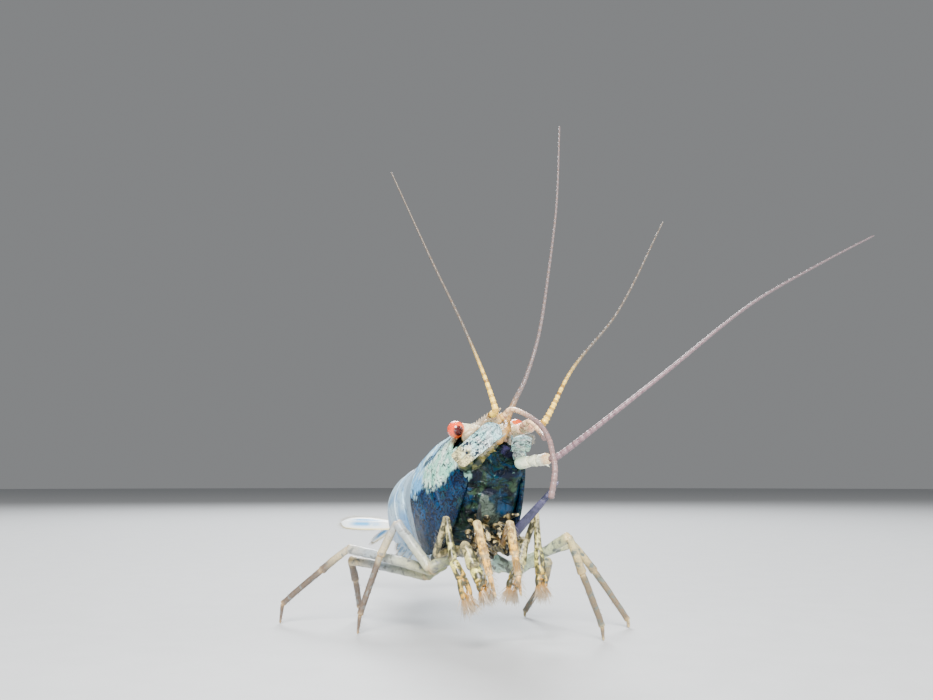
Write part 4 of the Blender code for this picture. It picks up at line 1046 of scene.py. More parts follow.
def makeEye(side):
    spec = eyeSpec
    sign = sides[side]
    centre = bodyPoint(*eyePlace[side])
    up = heading(0)[2]
    across, ahead, rise = spec["stalkRoot"]
    root = bodyPoint(sign * across, ahead, rise)
    inward = (root - centre).normalized()
    across, ahead, rise = spec["patchAim"]
    aim = Vector((across * -sign, ahead, rise)).normalized()
    bm = newForm()
    bmesh.ops.create_icosphere(bm, subdivisions=spec["subdivisions"], radius=spec["radius"])
    for vert in bm.verts:
        way = vert.co.normalized()
        patch = clamp((way.dot(aim) - 1 + spec["patchSize"]) / spec["patchEdge"])
        rim = clamp((way.dot(inward) - spec["rimAt"]) / spec["rimEdge"])
        setMarks(bm, vert, joint=max(patch, rim * 0.5))
        vert.co = centre + vert.co * (1 + 0.04 * way.z)
    finishPiece(sided("eye", side), bm, sided("eye", side), "eye_coral", "eye_" + side)

    end = centre + inward * spec["radius"] * spec["stalkEnd"]
    bm = newForm()

    def size(u, turn):
        radius = spec["stalkRadius"] + 0.02 * sin(u * 5) + spec["stalkFlare"] * max(u - 0.45, 0) / 0.55
        return (radius * roundEnds(u, 0.1, 0.06),) * 2

    addTube(bm, lambda u: root.lerp(end, u) + up * spec["stalkBend"] * sin(u * pi), size,
            lambda u, turn: {"reach": u, "joint": hump(u, 0.5, 0.08) * 0.6}, *spec["stalkRings"])
    finishPiece(sided("eyestalk", side), bm, "eyestalk", "cream", "eyestalk_" + side)


# A jointed limb: each segment is a closed tube, narrow where it enters the one before and flared at its end
limbSpec = {"spacing": 0.09, "fewestRows": 12, "segments": 20, "overlap": 0.45, "beyond": 0.3,
            "flareLength": 0.2, "neck": 0.12, "neckLength": 0.16, "lumps": 0.11, "farRing": 0.17,
            "nearRing": 0.15}


def addLimb(bm, points, radii, bow=0.0, flat=1.0, flare=0.16, lastRing=1.0):
    spec = limbSpec
    up = Vector((0, 0, 1))
    total = sum((b - a).length for a, b in zip(points, points[1:]))
    done = 0.0
    for i, (near, far) in enumerate(zip(points, points[1:])):
        way = (far - near).normalized()
        length = (far - near).length
        start = near - way * radii[i][0] * (spec["overlap"] if i else 0)
        stop = far + way * radii[i][1] * spec["beyond"]
        bend = (way.cross(up).cross(way)) * bow * length
        ringed = lastRing if i >= len(points) - 3 else 1.0

        def path(u, start=start, stop=stop, bend=bend):
            return start.lerp(stop, u) + bend * sin(u * pi)

        def size(u, turn, i=i, length=length):
            first, last = radii[i]
            radius = first + (last - first) * u
            flared = flare * hump((1 - u) * length, 0, spec["flareLength"])
            radius *= 1 + flared - spec["neck"] * hump(u * length, 0, spec["neckLength"])
            radius *= 1 + spec["lumps"] * swell(u * length * 2.2, cos(turn), i * 3 + sin(turn))
            closing = roundEnds(u, min(0.3, first * 0.6 / length), min(0.35, last * 0.8 / length))
            return radius * flat * closing, radius * closing

        def marks(u, turn, done=done, length=length, ringed=ringed):
            ring = hump((1 - u) * length, 0, spec["farRing"]) + hump(u * length, 0, spec["nearRing"]) * 0.8
            at = done + u * length
            return {"along": at, "reach": at / total, "joint": min(ring * ringed, 1)}

        rows = max(int(length / spec["spacing"]), spec["fewestRows"])
        addTube(bm, path, size, marks, rows, spec["segments"], up)
        done += length


# Walking legs: where each roots, as station, spread and height on the body, and the length, turn and lift of
# its segments. The claw runs on from the last one down to the floor.
legSpec = {
    "roots": {3: (-4.3, 1.0, -4.65), 4: (-5.15, 1.0, -4.55), 5: (-6.0, 1.0, -4.35)},
    "segments": {
        ("right", 3): ((1.43, -24, -24), (3.11, -55, 48), (2.06, -54, -60), (3.42, -49, -69)),
        ("right", 4): ((0.97, -27, -30), (5.94, -59, 9), (2.19, -48, -36), (3.22, -46, -38)),
        ("right", 5): ((1.06, -58, -36), (5.6, -60, 6), (1.68, -124, -48), (1.97, -124, -59)),
        ("left", 3): ((1.78, 30, -29), (3.89, 65, 31), (2.0, 16, -70), (3.3, -24, -58)),
        ("left", 4): ((1.33, 6, -21), (4.4, 7, 17), (2.1, 8, -50), (3.4, 8, -54)),
        ("left", 5): ((1.34, -1, -12), (4.0, -8, 2), (1.7, -74, -44), (2.95, -95, -43)),
    },
    "radii": ((0.34, 0.29), (0.27, 0.27), (0.2, 0.23), (0.185, 0.165), (0.13, 0.05)),
    "coxa": 0.42, "clawSlant": 0.12, "floorGap": 0.03, "bow": 0.012,
    "spinules": 9, "spinuleRadius": 0.022, "clawTeeth": 4, "clawToothRadius": 0.03,
}


def segmentWay(side, yaw, lift):
    yaw = radians(yaw)
    lift = radians(lift)
    return Vector((sides[side] * cos(yaw) * cos(lift), -sin(yaw) * cos(lift), sin(lift)))


def makeLeg(side, number):
    spec = legSpec
    station, spread, height = spec["roots"][number]
    points = [bodyPoint(sides[side] * spread, station, height)]
    for length, yaw, lift in spec["segments"][side, number]:
        points.append(points[-1] + segmentWay(side, yaw, lift) * length)
    slant = (points[-1] - points[-2]).to_2d().normalized() * points[-1].z * spec["clawSlant"]
    points.append(Vector((points[-1].x + slant.x, points[-1].y + slant.y, spec["floorGap"])))
    bm = newForm()
    top = bodyPoint(sides[side] * spread * 0.9, station, height + 0.75)
    addLimb(bm, [top, points[0].lerp(points[1], 0.2)], [(spec["coxa"], spec["coxa"] * 0.85)], flare=0.05)
    addLimb(bm, points, spec["radii"], bow=spec["bow"])
    rand = random.Random(number * 7 + sides[side])
    shin = points[4] - points[3]
    for i in range(spec["spinules"]):
        at = points[3] + shin * (0.15 + 0.8 * i / spec["spinules"])
        aside = shin.cross(Vector((rand.uniform(-1, 1), rand.uniform(-1, 1), 0.3))).normalized()
        tip = at + aside * 0.26 + shin.normalized() * 0.14
        addSpine(bm, at + aside * 0.13, tip, spec["spinuleRadius"], 5, reach=0.8)
    claw = points[-1] - points[-2]
    inner = slant.to_3d().normalized() * -0.16
    for i in range(spec["clawTeeth"]):
        at = points[-2] + claw * (0.35 + 0.17 * i)
        addSpine(bm, at, at + inner + claw.normalized() * 0.08, spec["clawToothRadius"], 5, reach=1)
    nodes = ["leg_%d_%s_%s" % (number, half, side) for half in ("upper", "lower")]
    finishPiece(sided("leg%d" % number, side), bm, sided("walking", side), "leg_pale", *nodes)


# Limbs about the mouth: their joints from root to tip, as x to the left, station and height on the body
feeding = {
    ("cheliped_2", "right"): ((-0.95, -3.5, -4.6), (-2.6, -3.1, -5.0), (-2.5, -1.2, -3.85),
                              (-2.55, -1.4, -6.1), (-2.25, -1.45, -7.0), (-1.9, -1.9, -8.75)),
    ("cheliped_2", "left"): ((0.95, -3.5, -4.6), (2.35, -2.4, -4.85), (2.55, -1.0, -3.8), (2.4, -1.5, -5.6),
                             (2.35, -1.8, -6.9), (2.25, -2.1, -8.2)),
    ("cheliped_1", "right"): ((-0.85, -2.75, -4.6), (-1.35, -2.65, -5.2), (-1.75, -1.3, -5.35),
                              (-1.5, -1.4, -6.5), (-1.25, -1.42, -7.25), (-1.0, -1.6, -8.35)),
    ("cheliped_1", "left"): ((0.85, -2.75, -4.6), (1.3, -2.65, -5.2), (1.75, -1.5, -5.05),
                             (1.35, -1.95, -6.2), (0.95, -2.2, -6.95), (0.6, -2.6, -8.0)),
    ("maxilliped_3", "right"): ((-0.55, -2.0, -4.6), (-0.65, -1.8, -5.1), (-1.6, 0.15, -4.8),
                                (-1.4, -0.2, -6.45), (-1.25, -0.45, -7.3), (-1.0, -0.8, -8.25)),
    ("maxilliped_3", "left"): ((0.55, -2.0, -4.6), (0.65, -1.8, -5.1), (0.3, 0.0, -4.75), (0.4, -0.5, -6.3),
                               (0.5, -0.85, -7.2), (0.65, -1.3, -8.1)),
}
feedingRadii = {
    "cheliped_2": ((0.26, 0.22), (0.18, 0.16), (0.14, 0.2), (0.24, 0.28), (0.27, 0.24)),
    "cheliped_1": ((0.3, 0.27), (0.24, 0.26), (0.24, 0.36), (0.3, 0.33), (0.3, 0.26)),
    "maxilliped_3": ((0.26, 0.22), (0.19, 0.17), (0.19, 0.21), (0.2, 0.17), (0.15, 0.05)),
}
exopodSpec = {
    "routes": {"right": ((-0.75, -1.5, -5.15), (-1.15, -0.5, -4.5), (-1.5, 0.7, -4.0)),
               "left": ((0.75, -1.5, -5.15), (1.2, -0.4, -4.7), (2.0, 0.9, -4.0), (2.7, 1.6, -3.3))},
    "wide": 0.25, "high": 0.1, "rings": (60, 20), "finish": {"left": "blade", "right": "bladeDark"},
}
chelaSpec = {"spread": 0.17, "brush": 0.75, "fingerRadius": 0.15, "bulge": 0.07, "palmEnd": 0.16,
             "palmScale": (0.86, 0.8), "rings": (22, 18)}


# Two spooned fingers at the end of a palm; gives their ends, where the brushes root
def addChela(bm, palm, tip, radius):
    spec = chelaSpec
    along = (tip - palm).normalized()
    spread = along.cross(heading(0)[0]).normalized()
    reach = (tip - palm).length - spec["brush"]
    ends = []
    for part in (-1, 1):
        start = palm - along * 0.05 + spread * part * radius * 0.42
        end = palm + along * reach + spread * part * spec["spread"]
        bulge = spread * part * spec["bulge"]

        def path(u, start=start, end=end, bulge=bulge):
            return start.lerp(end, u) + bulge * sin(u * pi)

        def size(u, turn):
            wide = radius * 0.66 * (1 - u) + spec["fingerRadius"] * u
            return wide * roundEnds(u, 0.08, 0.2), wide * 0.8 * roundEnds(u, 0.08, 0.2)

        def marks(u, turn):
            return {"along": u, "reach": 0.9 + 0.1 * u}

        addTube(bm, path, size, marks, *spec["rings"], spread)
        ends.append((start, end, along, spread * part))
    return ends


# The dark blade that stands up beside a third jaw leg
def makeExopod(side):
    spec = exopodSpec
    route, length = routeThrough(bodyPoints(spec["routes"][side]))
    bm = newForm()

    def size(u, turn):
        closing = roundEnds(u, 0.1, 0.1)
        return spec["wide"] * (1 - 0.7 * u * u) * closing, spec["high"] * (1 - 0.5 * u) * closing

    def marks(u, turn):
        return {"along": u * length, "reach": u}

    addTube(bm, route, size, marks, *spec["rings"], heading(0)[0])
    finishPiece(sided("exopod", side), bm, spec["finish"][side], "feeding_ochre")


def makeFeedingLimb(kind, side):
    points = bodyPoints(feeding[kind, side])
    radii = feedingRadii[kind]
    bm = newForm()
    ends = []
    if kind == "maxilliped_3":
        finish = "jawLeg"
        addLimb(bm, points, radii, flat=1.15, flare=0.1)
        makeExopod(side)
    else:
        finish = "chelaLimb"
        ends = addChela(bm, points[-2], points[-1], radii[-1][0])
        palm = tuple(a * b for a, b in zip(radii[-1], chelaSpec["palmScale"]))
        palmEnd = points[-2].lerp(points[-1], chelaSpec["palmEnd"])
        addLimb(bm, points[:-1] + [palmEnd], (*radii[:-1], palm), lastRing=0.1)
    node = "%s_%s" % (kind, side)
    finishPiece(node.replace("_", "") + "Limb", bm, finish, "feeding_ochre", node)
    return ends, points


# The jaws and small palps between the feeding limbs, each a bent and mottled finger or plate: three places on
# the body and a radius
palpRings = (34, 22)
palps = (
    ((0.0, -2.1, -4.2), (-0.15, -1.4, -5.2), (-0.3, -0.9, -5.4), 0.24),
    ((-0.35, -1.9, -4.1), (-0.75, -0.75, -4.7), (-0.8, -0.5, -5.5), 0.17),
    ((0.25, -1.9, -4.1), (-0.05, -0.7, -4.7), (-0.15, -0.5, -5.45), 0.16),
    ((-0.5, -2.2, -4.4), (-1.05, -1.9, -5.3), (-0.95, -1.5, -5.9), 0.2),
    ((0.5, -2.2, -4.4), (0.75, -1.8, -5.4), (0.55, -1.5, -5.9), 0.2),
    ((-0.2, -2.4, -4.5), (-0.35, -1.9, -5.6), (-0.3, -1.5, -6.0), 0.22),
    ((-0.6, -1.5, -3.9), (-1.1, -0.6, -4.1), (-1.35, -0.2, -4.2), 0.15),
    ((0.6, -1.5, -3.9), (0.95, -0.6, -4.1), (1.1, -0.3, -4.2), 0.15),
    ((-0.9, -1.6, -4.1), (-1.3, -0.9, -4.3), (-1.7, -0.5, -4.25), 0.13),
    ((-0.4, -1.4, -4.2), (-0.65, -0.5, -4.25), (-0.95, -0.2, -4.35), 0.14),
    ((0.1, -1.5, -4.3), (0.2, -0.8, -4.5), (0.55, -0.6, -4.9), 0.13),
    ((-1.0, -1.8, -4.4), (-1.5, -1.2, -4.7), (-1.6, -0.9, -5.2), 0.14),
    ((0.9, -1.8, -4.4), (1.2, -1.3, -4.8), (1.1, -1.0, -5.3), 0.14),
    ((-0.7, -1.6, -4.6), (-0.9, -0.9, -5.2), (-0.6, -0.7, -5.9), 0.12),
    ((0.4, -1.6, -4.6), (0.5, -1.0, -5.2), (0.2, -0.8, -5.9), 0.12),
)


def makeMouth():
    bm = newForm()
    for *places, radius in palps:
        route, length = routeThrough(bodyPoints(places))

        def size(u, turn, radius=radius):
            wide = radius * (0.8 + 0.3 * sin(u * pi)) * roundEnds(u, 0.08, 0.25)
            lump = 1 + 0.3 * swell(u * 5, cos(turn) * 2, radius * 50)
            return wide * 1.1 * lump, wide * 0.8 * lump

        def marks(u, turn):
            return {"along": u, "reach": 0.25 + 0.75 * u, "joint": hump(u, 0.55, 0.07)}

        addTube(bm, route, size, marks, *palpRings)
    finishPiece("mouthParts", bm, "mouth", "feeding_ochre", "mouthparts")


# Further points of the antennules' whips, in the plan
whipRoutes = {
    "antennule_outer_right": ((-1.6, -1.6, 15.3), (-3.4, -0.6, 19.7), (-5.1, 0.8, 24.5)),
    "antennule_outer_left": ((2.9, -4.1, 13.8), (4.9, -5.3, 16.7), (6.9, -6.6, 21.3)),
    "antennule_inner_right": ((0.0, -3.9, 11.6), (0.33, -5.19, 10.95), (0.34, -6.08, 10.19),
                              (0.21, -6.57, 9.62), (0.12, -6.97, 8.75), (-0.11, -6.97, 7.45)),
    "antennule_inner_left": ((1.2, -3.6, 10.75), (1.05, -4.2, 10.5), (0.86, -4.8, 10.3)),
}
# Radius at the root, further out and at the tip, and the length over which the root's stoutness fades
whipSpec = {"outer": (0.2, 0.085, 0.035, 1.6), "inner": (0.15, 0.1, 0.145, 1.0),
            "antennaLeft": (0.18, 0.13, 0.05, 2.5), "antennaRight": (0.3, 0.115, 0.045, 1.9),
            "ringPitch": 0.2, "rowPitch": 0.05, "segments": 12}


# A whip of fine beads, thick at its root
def makeWhip(name, points, radii, finish, slot, *nodes, beads=0.07):
    spec = whipSpec
    route, length = routeThrough(points)
    atRoot, further, atTip, fade = radii
    bm = newForm()

    def size(u, turn):
        radius = further + (atTip - further) * u + (atRoot - further) * exp(-u * length / fade)
        beaded = beads * sin(u * length * 2 * pi / spec["ringPitch"])
        radius *= 1 + beaded + 0.05 * swell(u * 9, 0, length)
        return (radius * roundEnds(u, 0.01, 0.012),) * 2

    rows = int(length / spec["rowPitch"])
    addTube(bm, route, size, lambda u, turn: {"along": u * length, "reach": u}, rows, spec["segments"])
    finishPiece(name, bm, finish, slot, *nodes)


# Antennules: root and tip of each stem on the body. A stem has three segments and two pegs that carry whips.
antennuleSpec = {
    "stems": {"right": ((-0.75, 1.0, -0.4), (-0.6, 2.65, -0.3)),
              "left": ((0.95, 1.0, -0.3), (1.2, 2.65, -0.7))},
    "radii": ((0.36, 0.34), (0.31, 0.31), (0.3, 0.33)), "pegOffset": 0.3, "pegRadius": 0.21,
    "pegRings": (12, 16),
    "whipOffset": {"outer": 0.39, "inner": -0.39},
    "whipFinish": {"outer": "antennule", "inner": "innerWhip"},
    "whipBeads": {("outer", "left"): 0.14},
}


def makeAntennules():
    spec = antennuleSpec
    for side, sign in sides.items():
        root, tip = bodyPoints(spec["stems"][side])
        ahead = (tip - root).normalized()
        out = heading(0)[1] * sign
        bm = newForm()
        points = [root - ahead * 0.5, root + ahead * 0.55, root.lerp(tip, 0.72), tip + ahead * 0.08]
        addLimb(bm, points, spec["radii"], flat=1.25, flare=0.12)
        for offset in (spec["pegOffset"], -spec["pegOffset"]):
            start = tip - ahead * 0.25 + out * offset * 0.6
            end = tip + ahead * 0.22 + out * offset * 1.25
            addPeg(bm, start, end, spec["pegRadius"], (0.1, 0.2),
                   lambda u, turn: {"reach": 0.95, "joint": 0.3}, *spec["pegRings"])
        for reachOf in (0.3, 0.62):
            spot = root.lerp(tip, reachOf) + out * 0.34
            addSpine(bm, spot, spot + ahead * 0.4 + out * 0.1, 0.06, 8, reach=0.5)
        finishPiece(sided("antennule", side), bm, sided("peduncle", side), "cream", "antennule_" + side)
        for whip, offset in spec["whipOffset"].items():
            node = "antennule_%s_%s" % (whip, side)
            start = tip + ahead * 0.1 + out * offset
            points = [start, start + ahead * 0.6] + [Vector(p) for p in whipRoutes[node]]
            makeWhip(node.replace("_", ""), points, whipSpec[whip], spec["whipFinish"][whip], "cream", node,
                     beads=spec["whipBeads"].get((whip, side), 0.07))


# Antennae: root and tip of each base on the body, and further points of the long feelers in the plan
antennaSpec = {
    "bases": {"right": ((-1.2, 0.75, -1.85), (-0.65, 2.0, -1.4)),
              "left": ((1.25, 1.05, -1.95), (1.95, 2.3, -2.4))},
    "radii": ((0.36, 0.27), (0.26, 0.3), (0.3, 0.3)), "stout": {"right": 0.74, "left": 1.0}, "beads": 0.04,
    "finish": {"right": "antennaRight", "left": "antenna"},
    "routes": {
        "right": ((0.05, -2.43, 10.83), (0.35, -1.85, 11.2), (0.65, -1.6, 11.7), (1.03, -1.5, 12.4),
                  (1.73, -1.32, 13.5), (2.76, -1.0, 16.0), (4.2, 0.3, 20.0),
                  (5.6, 1.7, 24.4), (6.8, 3.2, 30.0)),
        "left": ((3.9, -4.9, 11.0), (7.0, -6.2, 13.6), (11.2, -7.8, 17.1), (14.8, -9.0, 19.3),
                 (17.9, -10.0, 21.0)),
    },
}


def makeAntenna(side):
    spec = antennaSpec
    root, tip = bodyPoints(spec["bases"][side])
    ahead = (tip - root).normalized()
    up = heading(0)[2]
    bm = newForm()
    points = [root - ahead * 0.4, root.lerp(tip, 0.32), root.lerp(tip, 0.62), tip + ahead * 0.1]
    radii = [tuple(radius * spec["stout"][side] for radius in pair) for pair in spec["radii"]]
    addLimb(bm, points, radii, flat=1.15, flare=0.1)
    spot = tip - ahead * 0.2 - up * 0.24
    addSpine(bm, spot, spot + ahead * 0.2 - up * 0.22, 0.07, 8, reach=0.6)
    finishPiece(sided("antennaBase", side), bm, sided("antennaRoot", side), "cream", "antenna_base_" + side)
    start = tip + ahead * 0.05
    points = [start, start + ahead * 0.45] + [Vector(p) for p in spec["routes"][side]]
    nodes = ("antenna_%s_near" % side, "antenna_%s_far" % side)
    name = sided("antenna", side)
    makeWhip(name, points, whipSpec[name], spec["finish"][side], "feeler_pink", *nodes, beads=spec["beads"])


# An antennal scale with the spine at its outer corner; gives the blade, for its fringe
scaleSpec = {
    "ends": {"right": ((-2.25, 1.05, -1.78), (-1.17, 3.75, -1.35)),
             "left": ((1.12, 1.4, -1.38), (0.38, 3.1, -1.52))},
    "roll": {"right": -40, "left": -10}, "half": 0.56, "thickness": 0.18, "rib": 0.06, "behind": 0.08,
    "rings": (60, 40),
}


def makeScale(side):
    spec = scaleSpec
    bm = newForm()
    root, tip = bodyPoints(spec["ends"][side])
    reach = tip - root
    facing = Matrix.Rotation(radians(spec["roll"][side]), 3, reach) @ heading(0)[2]
    behind = root - reach * spec["behind"]
    addBlade(bm, behind, reach, facing, reach.length * (1 + spec["behind"]), spec["half"], spec["thickness"],
             *spec["rings"], spec["rib"], 1.0)
    along = reach.normalized()
    across = along.cross(facing).normalized() * -sides[side]
    outer = root + reach * 0.8 + across * -spec["half"] * 0.9
    addSpine(bm, outer, outer + along * 0.5 - across * 0.04, 0.07, 8, reach=0.8)
    finishPiece(sided("antennaScale", side), bm, sided("scale", side), "scale_mint", "antenna_scale_" + side)
    return behind, tip - behind, facing, (tip - behind).length, spec["half"]


# Swimming paddles folded back under the abdomen, each a root and two blades
paddleSpec = {"lengths": (2.3, 2.5, 2.3, 2.0, 1.7), "lean": 2.2, "drop": 0.25, "rootRadii": (0.24, 0.17),
              "rootRings": (16, 16), "bladeRings": (26, 16), "bladeShare": 0.62, "bladeHalf": 0.15,
              "thickness": 0.14, "blades": ((0.12, 1.0), (-0.1, 0.85))}


def makePleopods(side):
    spec = paddleSpec
    wide, high = spec["rootRadii"]
    blades = []
    bm = newForm()
    for number, length in enumerate(spec["lengths"], 1):
        front = -plan["carapaceLength"] - sum(plan["pleonLengths"][: number - 1])
        station = front - plan["pleonLengths"][number - 1] / 2
        back, left, up = heading(station)
        half = curveAt(plan["width"], station)
        along = (back * spec["lean"] - up).normalized()
        low = curveAt(plan["pleonEdge"], station) - spec["drop"]
        root = bodyPoint(sides[side] * half * 0.27, station, low)
        knee = root + along * length * 0.4
        root -= along * 0.2 - up * 0.2
        addTube(bm, lambda u: root.lerp(knee, u), lambda u, turn: (wide * roundEnds(u, 0.1, 0.2), high),
                lambda u, turn: {"reach": 0.2 * u, "joint": hump(1 - u, 0, 0.15)}, *spec["rootRings"], up)
        for lean, size in spec["blades"]:
            aim = along + left * sides[side] * lean - up * 0.2 * lean
            reach = length * spec["bladeShare"] * size
            across = half * spec["bladeHalf"]
            addBlade(bm, knee - along * 0.1, aim, up, reach, across, spec["thickness"], *spec["bladeRings"])
            blades.append((knee, aim, up, reach, across))
    nodes = ["pleopod_%d_%s" % (n, side) for n in range(1, len(spec["lengths"]) + 1)]
    finishPiece(sided("paddles", side), bm, "paddle", "pale_shell", *nodes)
    return blades


# Bristles as one mesh of fine tapered tubes. Each hair is a line, a radius, and the place where it gets a
# small patch of its own on the unwrap.
hairSpec = {"points": 5, "patch": 0.003, "taper": 0.85}


def makeBristles(name, hairs, finish, slot):
    stops = hairSpec["points"]
    data = bpy.data.curves.new(name, "CURVE")
    data.dimensions = "3D"
    data.bevel_depth = mm
    data.bevel_resolution = 0
    data.resolution_u = 1
    for line, radius, patch in hairs:
        spline = data.splines.new("POLY")
        spline.points.add(stops - 1)
        for i in range(stops):
            u = i / (stops - 1)
            spline.points[i].co = (*((line(u) + shift) * mm), 1)
            spline.points[i].radius = radius * (1 - hairSpec["taper"] * i / (stops - 1))
    holder = newObject(name + "Curve", data)
    graph = bpy.context.evaluated_depsgraph_get()
    graph.update()
    mesh = bpy.data.meshes.new_from_object(holder.evaluated_get(graph))
    bpy.data.objects.remove(holder, do_unlink=True)
    bpy.data.curves.remove(data)
    mesh.name = name
    perHair = len(mesh.vertices) // len(hairs)
    ring = perHair // stops
    index = np.arange(len(mesh.vertices))
    reach = mesh.attributes.new("reach", "FLOAT", "POINT")
    reach.data.foreach_set("value", ((index % perHair) // ring / (stops - 1)).astype(np.float32))
    for layer in list(mesh.uv_layers):
        mesh.uv_layers.remove(layer)
    layer = mesh.uv_layers.new(name="OFBake")
    corners = np.zeros(len(mesh.loops), dtype=np.int32)
    mesh.loops.foreach_get("vertex_index", corners)
    within = corners % perHair
    at = np.array([patch for _, _, patch in hairs])[corners // perHair]
    at[:, 0] += ((within % ring) / ring - 0.5) * hairSpec["patch"]
    at[:, 1] += ((within // ring) / stops - 0.5) * hairSpec["patch"]
    layer.data.foreach_set("uv", at.astype(np.float32).ravel())
    placePiece(name, mesh, finish, slot)


def hairLine(root, aim, length, droop):
    return lambda u: root + aim * length * u + droop * u * u


# A brush at a finger's end: hairs fan out from its tip
brushSpec = {"count": 150, "length": 0.85, "spread": 0.42, "radius": 0.019}


def brushHairs(start, end, along, aside, rand, patchRow):
    spec = brushSpec
    hairs = []
    cross = along.cross(aside)
    for i in range(spec["count"]):
        u = rand.uniform(0.55, 1.0)
        root = start.lerp(end, u) + aside * rand.uniform(-0.08, 0.1) + cross * rand.uniform(-0.1, 0.1)
        aim = along + aside * rand.gauss(0.05, spec["spread"]) * 0.6
        aim += cross * rand.gauss(0, spec["spread"]) * 0.5
        length = spec["length"] * rand.uniform(0.7, 1.1) * (1.1 - 0.3 * (1 - u))
        droop = aside * rand.uniform(-0.12, 0.12) - along * 0.05
        line = hairLine(root, aim.normalized(), length, droop)
        radius = spec["radius"] * rand.uniform(0.7, 1.2)
        hairs.append((line, radius, (0.05 + 0.9 * u, patchRow + rand.uniform(-0.02, 0.02))))
    return hairs


# Short setae in rows along a limb, leaning to its tip
setaeSpec = {
    "jawLeg": {"first": 2, "count": 240, "offset": 0.15, "length": 0.34},
    "nipper": {"first": 1, "count": 60, "offset": 0.17, "length": 0.22},
    "radius": 0.0065,
}


def limbHairs(points, kind, rand, patchRow):
    spec = setaeSpec[kind]
    hairs = []
    stretches = list(zip(points, points[1:]))[spec["first"]:]
    for i in range(spec["count"]):
        near, far = stretches[rand.randrange(len(stretches))]
        u = rand.random()
        ahead = (far - near).normalized()
        aside = ahead.cross(Vector((rand.gauss(0, 1), rand.gauss(0, 1), rand.gauss(0, 1)))).normalized()
        root = near.lerp(far, u) + aside * spec["offset"]
        aim = (aside + ahead * rand.uniform(0.6, 1.4)).normalized()
        line = hairLine(root, aim, spec["length"] * rand.uniform(0.6, 1.2), ahead * spec["length"] * 0.2)
        hairs.append((line, setaeSpec["radius"] * rand.uniform(0.7, 1.2), (0.05 + 0.9 * u, patchRow)))
    return hairs


# Fringes round the ends and sides of blades: hairs per blade, their length, where they start along the blade,
# the blade's bluntness, the first row of patches and its step, and the slot
fringeSpec = {
    "tailFringe": (130, 0.42, 0.35, 0, 0.1, 0.05, "tail_white"),
    "paddleFringe": (50, 0.35, 0.2, 0, 0.05, 0.04, "pale_shell"),
    "scaleFringe": (110, 0.28, 0.35, 1, 0.3, 0.3, "scale_mint"),
}
fringeRadius = 0.009


def makeFringe(name, blades, rand):
    count, hairLength, startAt, blunt, firstRow, rowStep, slot = fringeSpec[name]
    hairs = []
    for row, (root, along, facing, length, halfWidth) in enumerate(blades):
        along = along.normalized()
        side = along.cross(facing).normalized()
        patchRow = firstRow + rowStep * row
        for i in range(count):
            t = i / (count - 1) * 2 - 1
            hand = 1 if t > 0 else -1
            u = 1 - abs(t) ** 1.6 * (1 - startAt)
            wide = halfWidth * bladeWidth(u, blunt)
            edge = root + along * length * u * 0.985 + side * wide * hand * 0.96
            out = (side * hand * (0.25 + abs(t) * 0.6) + along * (1.25 - abs(t) * 0.6)).normalized()
            out = (out + facing * rand.gauss(0, 0.06)).normalized()
            line = hairLine(edge, out, hairLength * rand.uniform(0.75, 1.1), along * hairLength * 0.15)
            hairs.append((line, fringeRadius, (0.05 + 0.45 * (t + 1), patchRow)))
    makeBristles(name, hairs, "paleBristle", slot)


print("making shell and face")
makeShield()
makeRostrum()
makeFlesh()
makeFaceLumps()
for ringNumber in range(1, len(plan["pleonLengths"]) + 1):
    makePleonRing(ringNumber)
makeTelson()
fanBlades = makeTailFan()
makeMouth()

print("making head and feelers")
for bodySide in sides:
    makeEye(bodySide)
makeAntennules()
scaleBlades = []
for bodySide in sides:
    makeAntenna(bodySide)
    scaleBlades.append(makeScale(bodySide))

print("making limbs")
rand = random.Random(11)
brushes = []
setae = []
paddleBlades = []
for bodySide in sides:
    for legNumber in legSpec["roots"]:
        makeLeg(bodySide, legNumber)
    for row, limb in enumerate(feedingRadii):
        fingerEnds, limbPoints = makeFeedingLimb(limb, bodySide)
        patchRow = 0.1 + 0.12 * row + (0.4 if bodySide == "left" else 0)
        for finger in fingerEnds:
            brushes += brushHairs(*finger, rand, patchRow)
        setae += limbHairs(limbPoints, "jawLeg" if limb == "maxilliped_3" else "nipper", rand, patchRow)
for bodySide in sides:
    paddleBlades += makePleopods(bodySide)

print("making bristles")
makeBristles("chelaBrushes", brushes, "clearBristle", "feeding_ochre")
makeBristles("limbSetae", setae, "paleBristle", "feeding_ochre")
makeFringe("tailFringe", fanBlades, rand)
makeFringe("paddleFringe", paddleBlades, rand)
makeFringe("scaleFringe", scaleBlades, rand)


# Studio: pale floor, soft lights and the photograph's viewpoint
studio = {"floor": (0.5, 0.51, 0.52), "floorRadius": 0.9, "air": (0.78, 0.8, 0.82), "airStrength": 0.3}


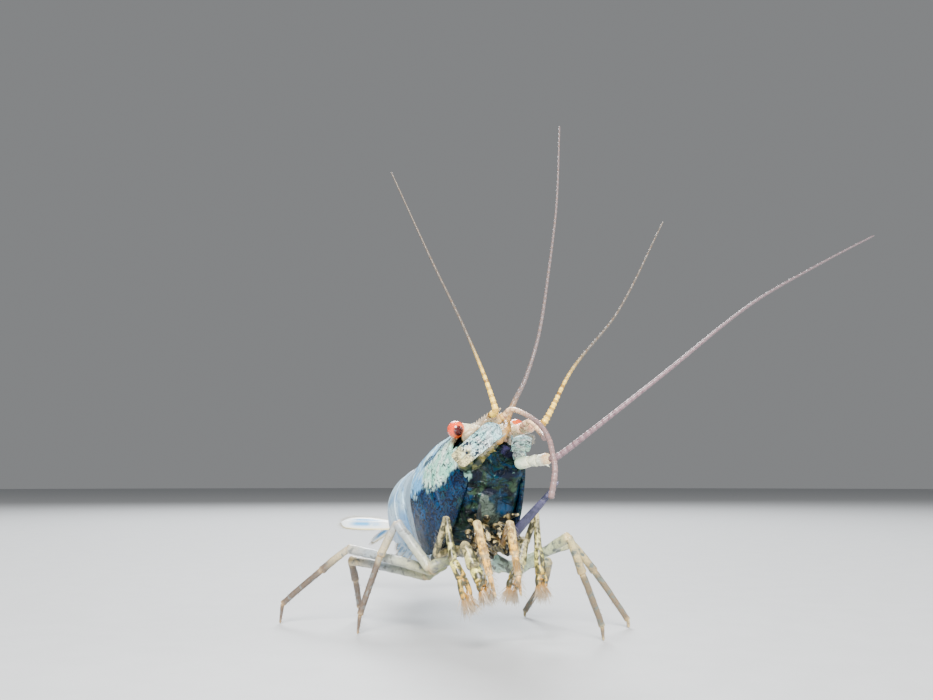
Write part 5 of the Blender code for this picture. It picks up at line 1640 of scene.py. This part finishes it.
def makeStudio():
    bm = bmesh.new()
    bmesh.ops.create_circle(bm, cap_ends=True, segments=96, radius=studio["floorRadius"])
    mesh = bpy.data.meshes.new("studioFloor")
    bm.to_mesh(mesh)
    bm.free()
    floor = newObject("studioFloor", mesh)
    paint = Paint("floorFinish", Roughness=0.6)
    lighter = tuple(v * 1.04 for v in studio["floor"])
    paint.colour = paint.mix(paint.patches(0.3, 0.7, 0.4), studio["floor"], lighter)
    mesh.materials.append(paint.done())
    world = bpy.data.worlds.new("studioAir")
    bpy.context.scene.world = world
    world.use_nodes = True
    air = world.node_tree.nodes["Background"]
    air.inputs["Color"].default_value = (*studio["air"], 1)
    air.inputs["Strength"].default_value = studio["airStrength"]


# Place, size, strength and colour of each lamp, all aimed at the animal
studioLights = {
    "key": ((-0.09, -0.17, 0.14), 0.1, 1.8, (1.0, 0.98, 0.95)),
    "fill": ((0.16, -0.12, 0.09), 0.12, 0.35, (0.92, 0.96, 1.0)),
    "rim": ((0.05, 0.16, 0.16), 0.1, 0.9, (0.95, 0.98, 1.0)),
}
lightTarget = Vector((0, 0, 0.009))


def makeLights():
    for name, (place, size, power, colour) in studioLights.items():
        data = bpy.data.lights.new(name + "Light", "AREA")
        data.size = size
        data.energy = power
        data.color = colour
        lamp = newObject(name + "Light", data)
        lamp.location = place
        lamp.rotation_euler = (lightTarget - Vector(place)).to_track_quat("-Z", "Y").to_euler()


# The camera stands a little above the floor, ahead and to the animal's right, and looks slightly up. Its
# place is in the plan, and focal length, frame width and horizon are in pixels of the photograph.
cameraSpec = {"place": (-20.88, -42.53, 8.3), "azimuth": -25.0, "focal": 900.0, "frameWidth": 933.0,
              "horizon": 130.0, "sensor": 36.0, "nearest": 0.002}


def makeCamera():
    spec = cameraSpec
    data = bpy.data.cameras.new("viewpoint")
    data.sensor_width = spec["sensor"]
    data.lens = spec["focal"] / spec["frameWidth"] * spec["sensor"]
    data.clip_start = spec["nearest"]
    camera = newObject("viewpoint", data)
    azimuth = radians(spec["azimuth"])
    pitch = atan(spec["horizon"] / spec["focal"])
    ahead = Vector((-sin(azimuth) * cos(pitch), cos(azimuth) * cos(pitch), sin(pitch)))
    right = Vector((cos(azimuth), sin(azimuth), 0))
    view = Matrix((right, right.cross(ahead), -ahead)).transposed().to_4x4()
    view.translation = (Vector(spec["place"]) + shift) * mm
    camera.matrix_world = view
    bpy.context.scene.camera = camera


print("making studio")
makeStudio()
makeLights()
makeCamera()
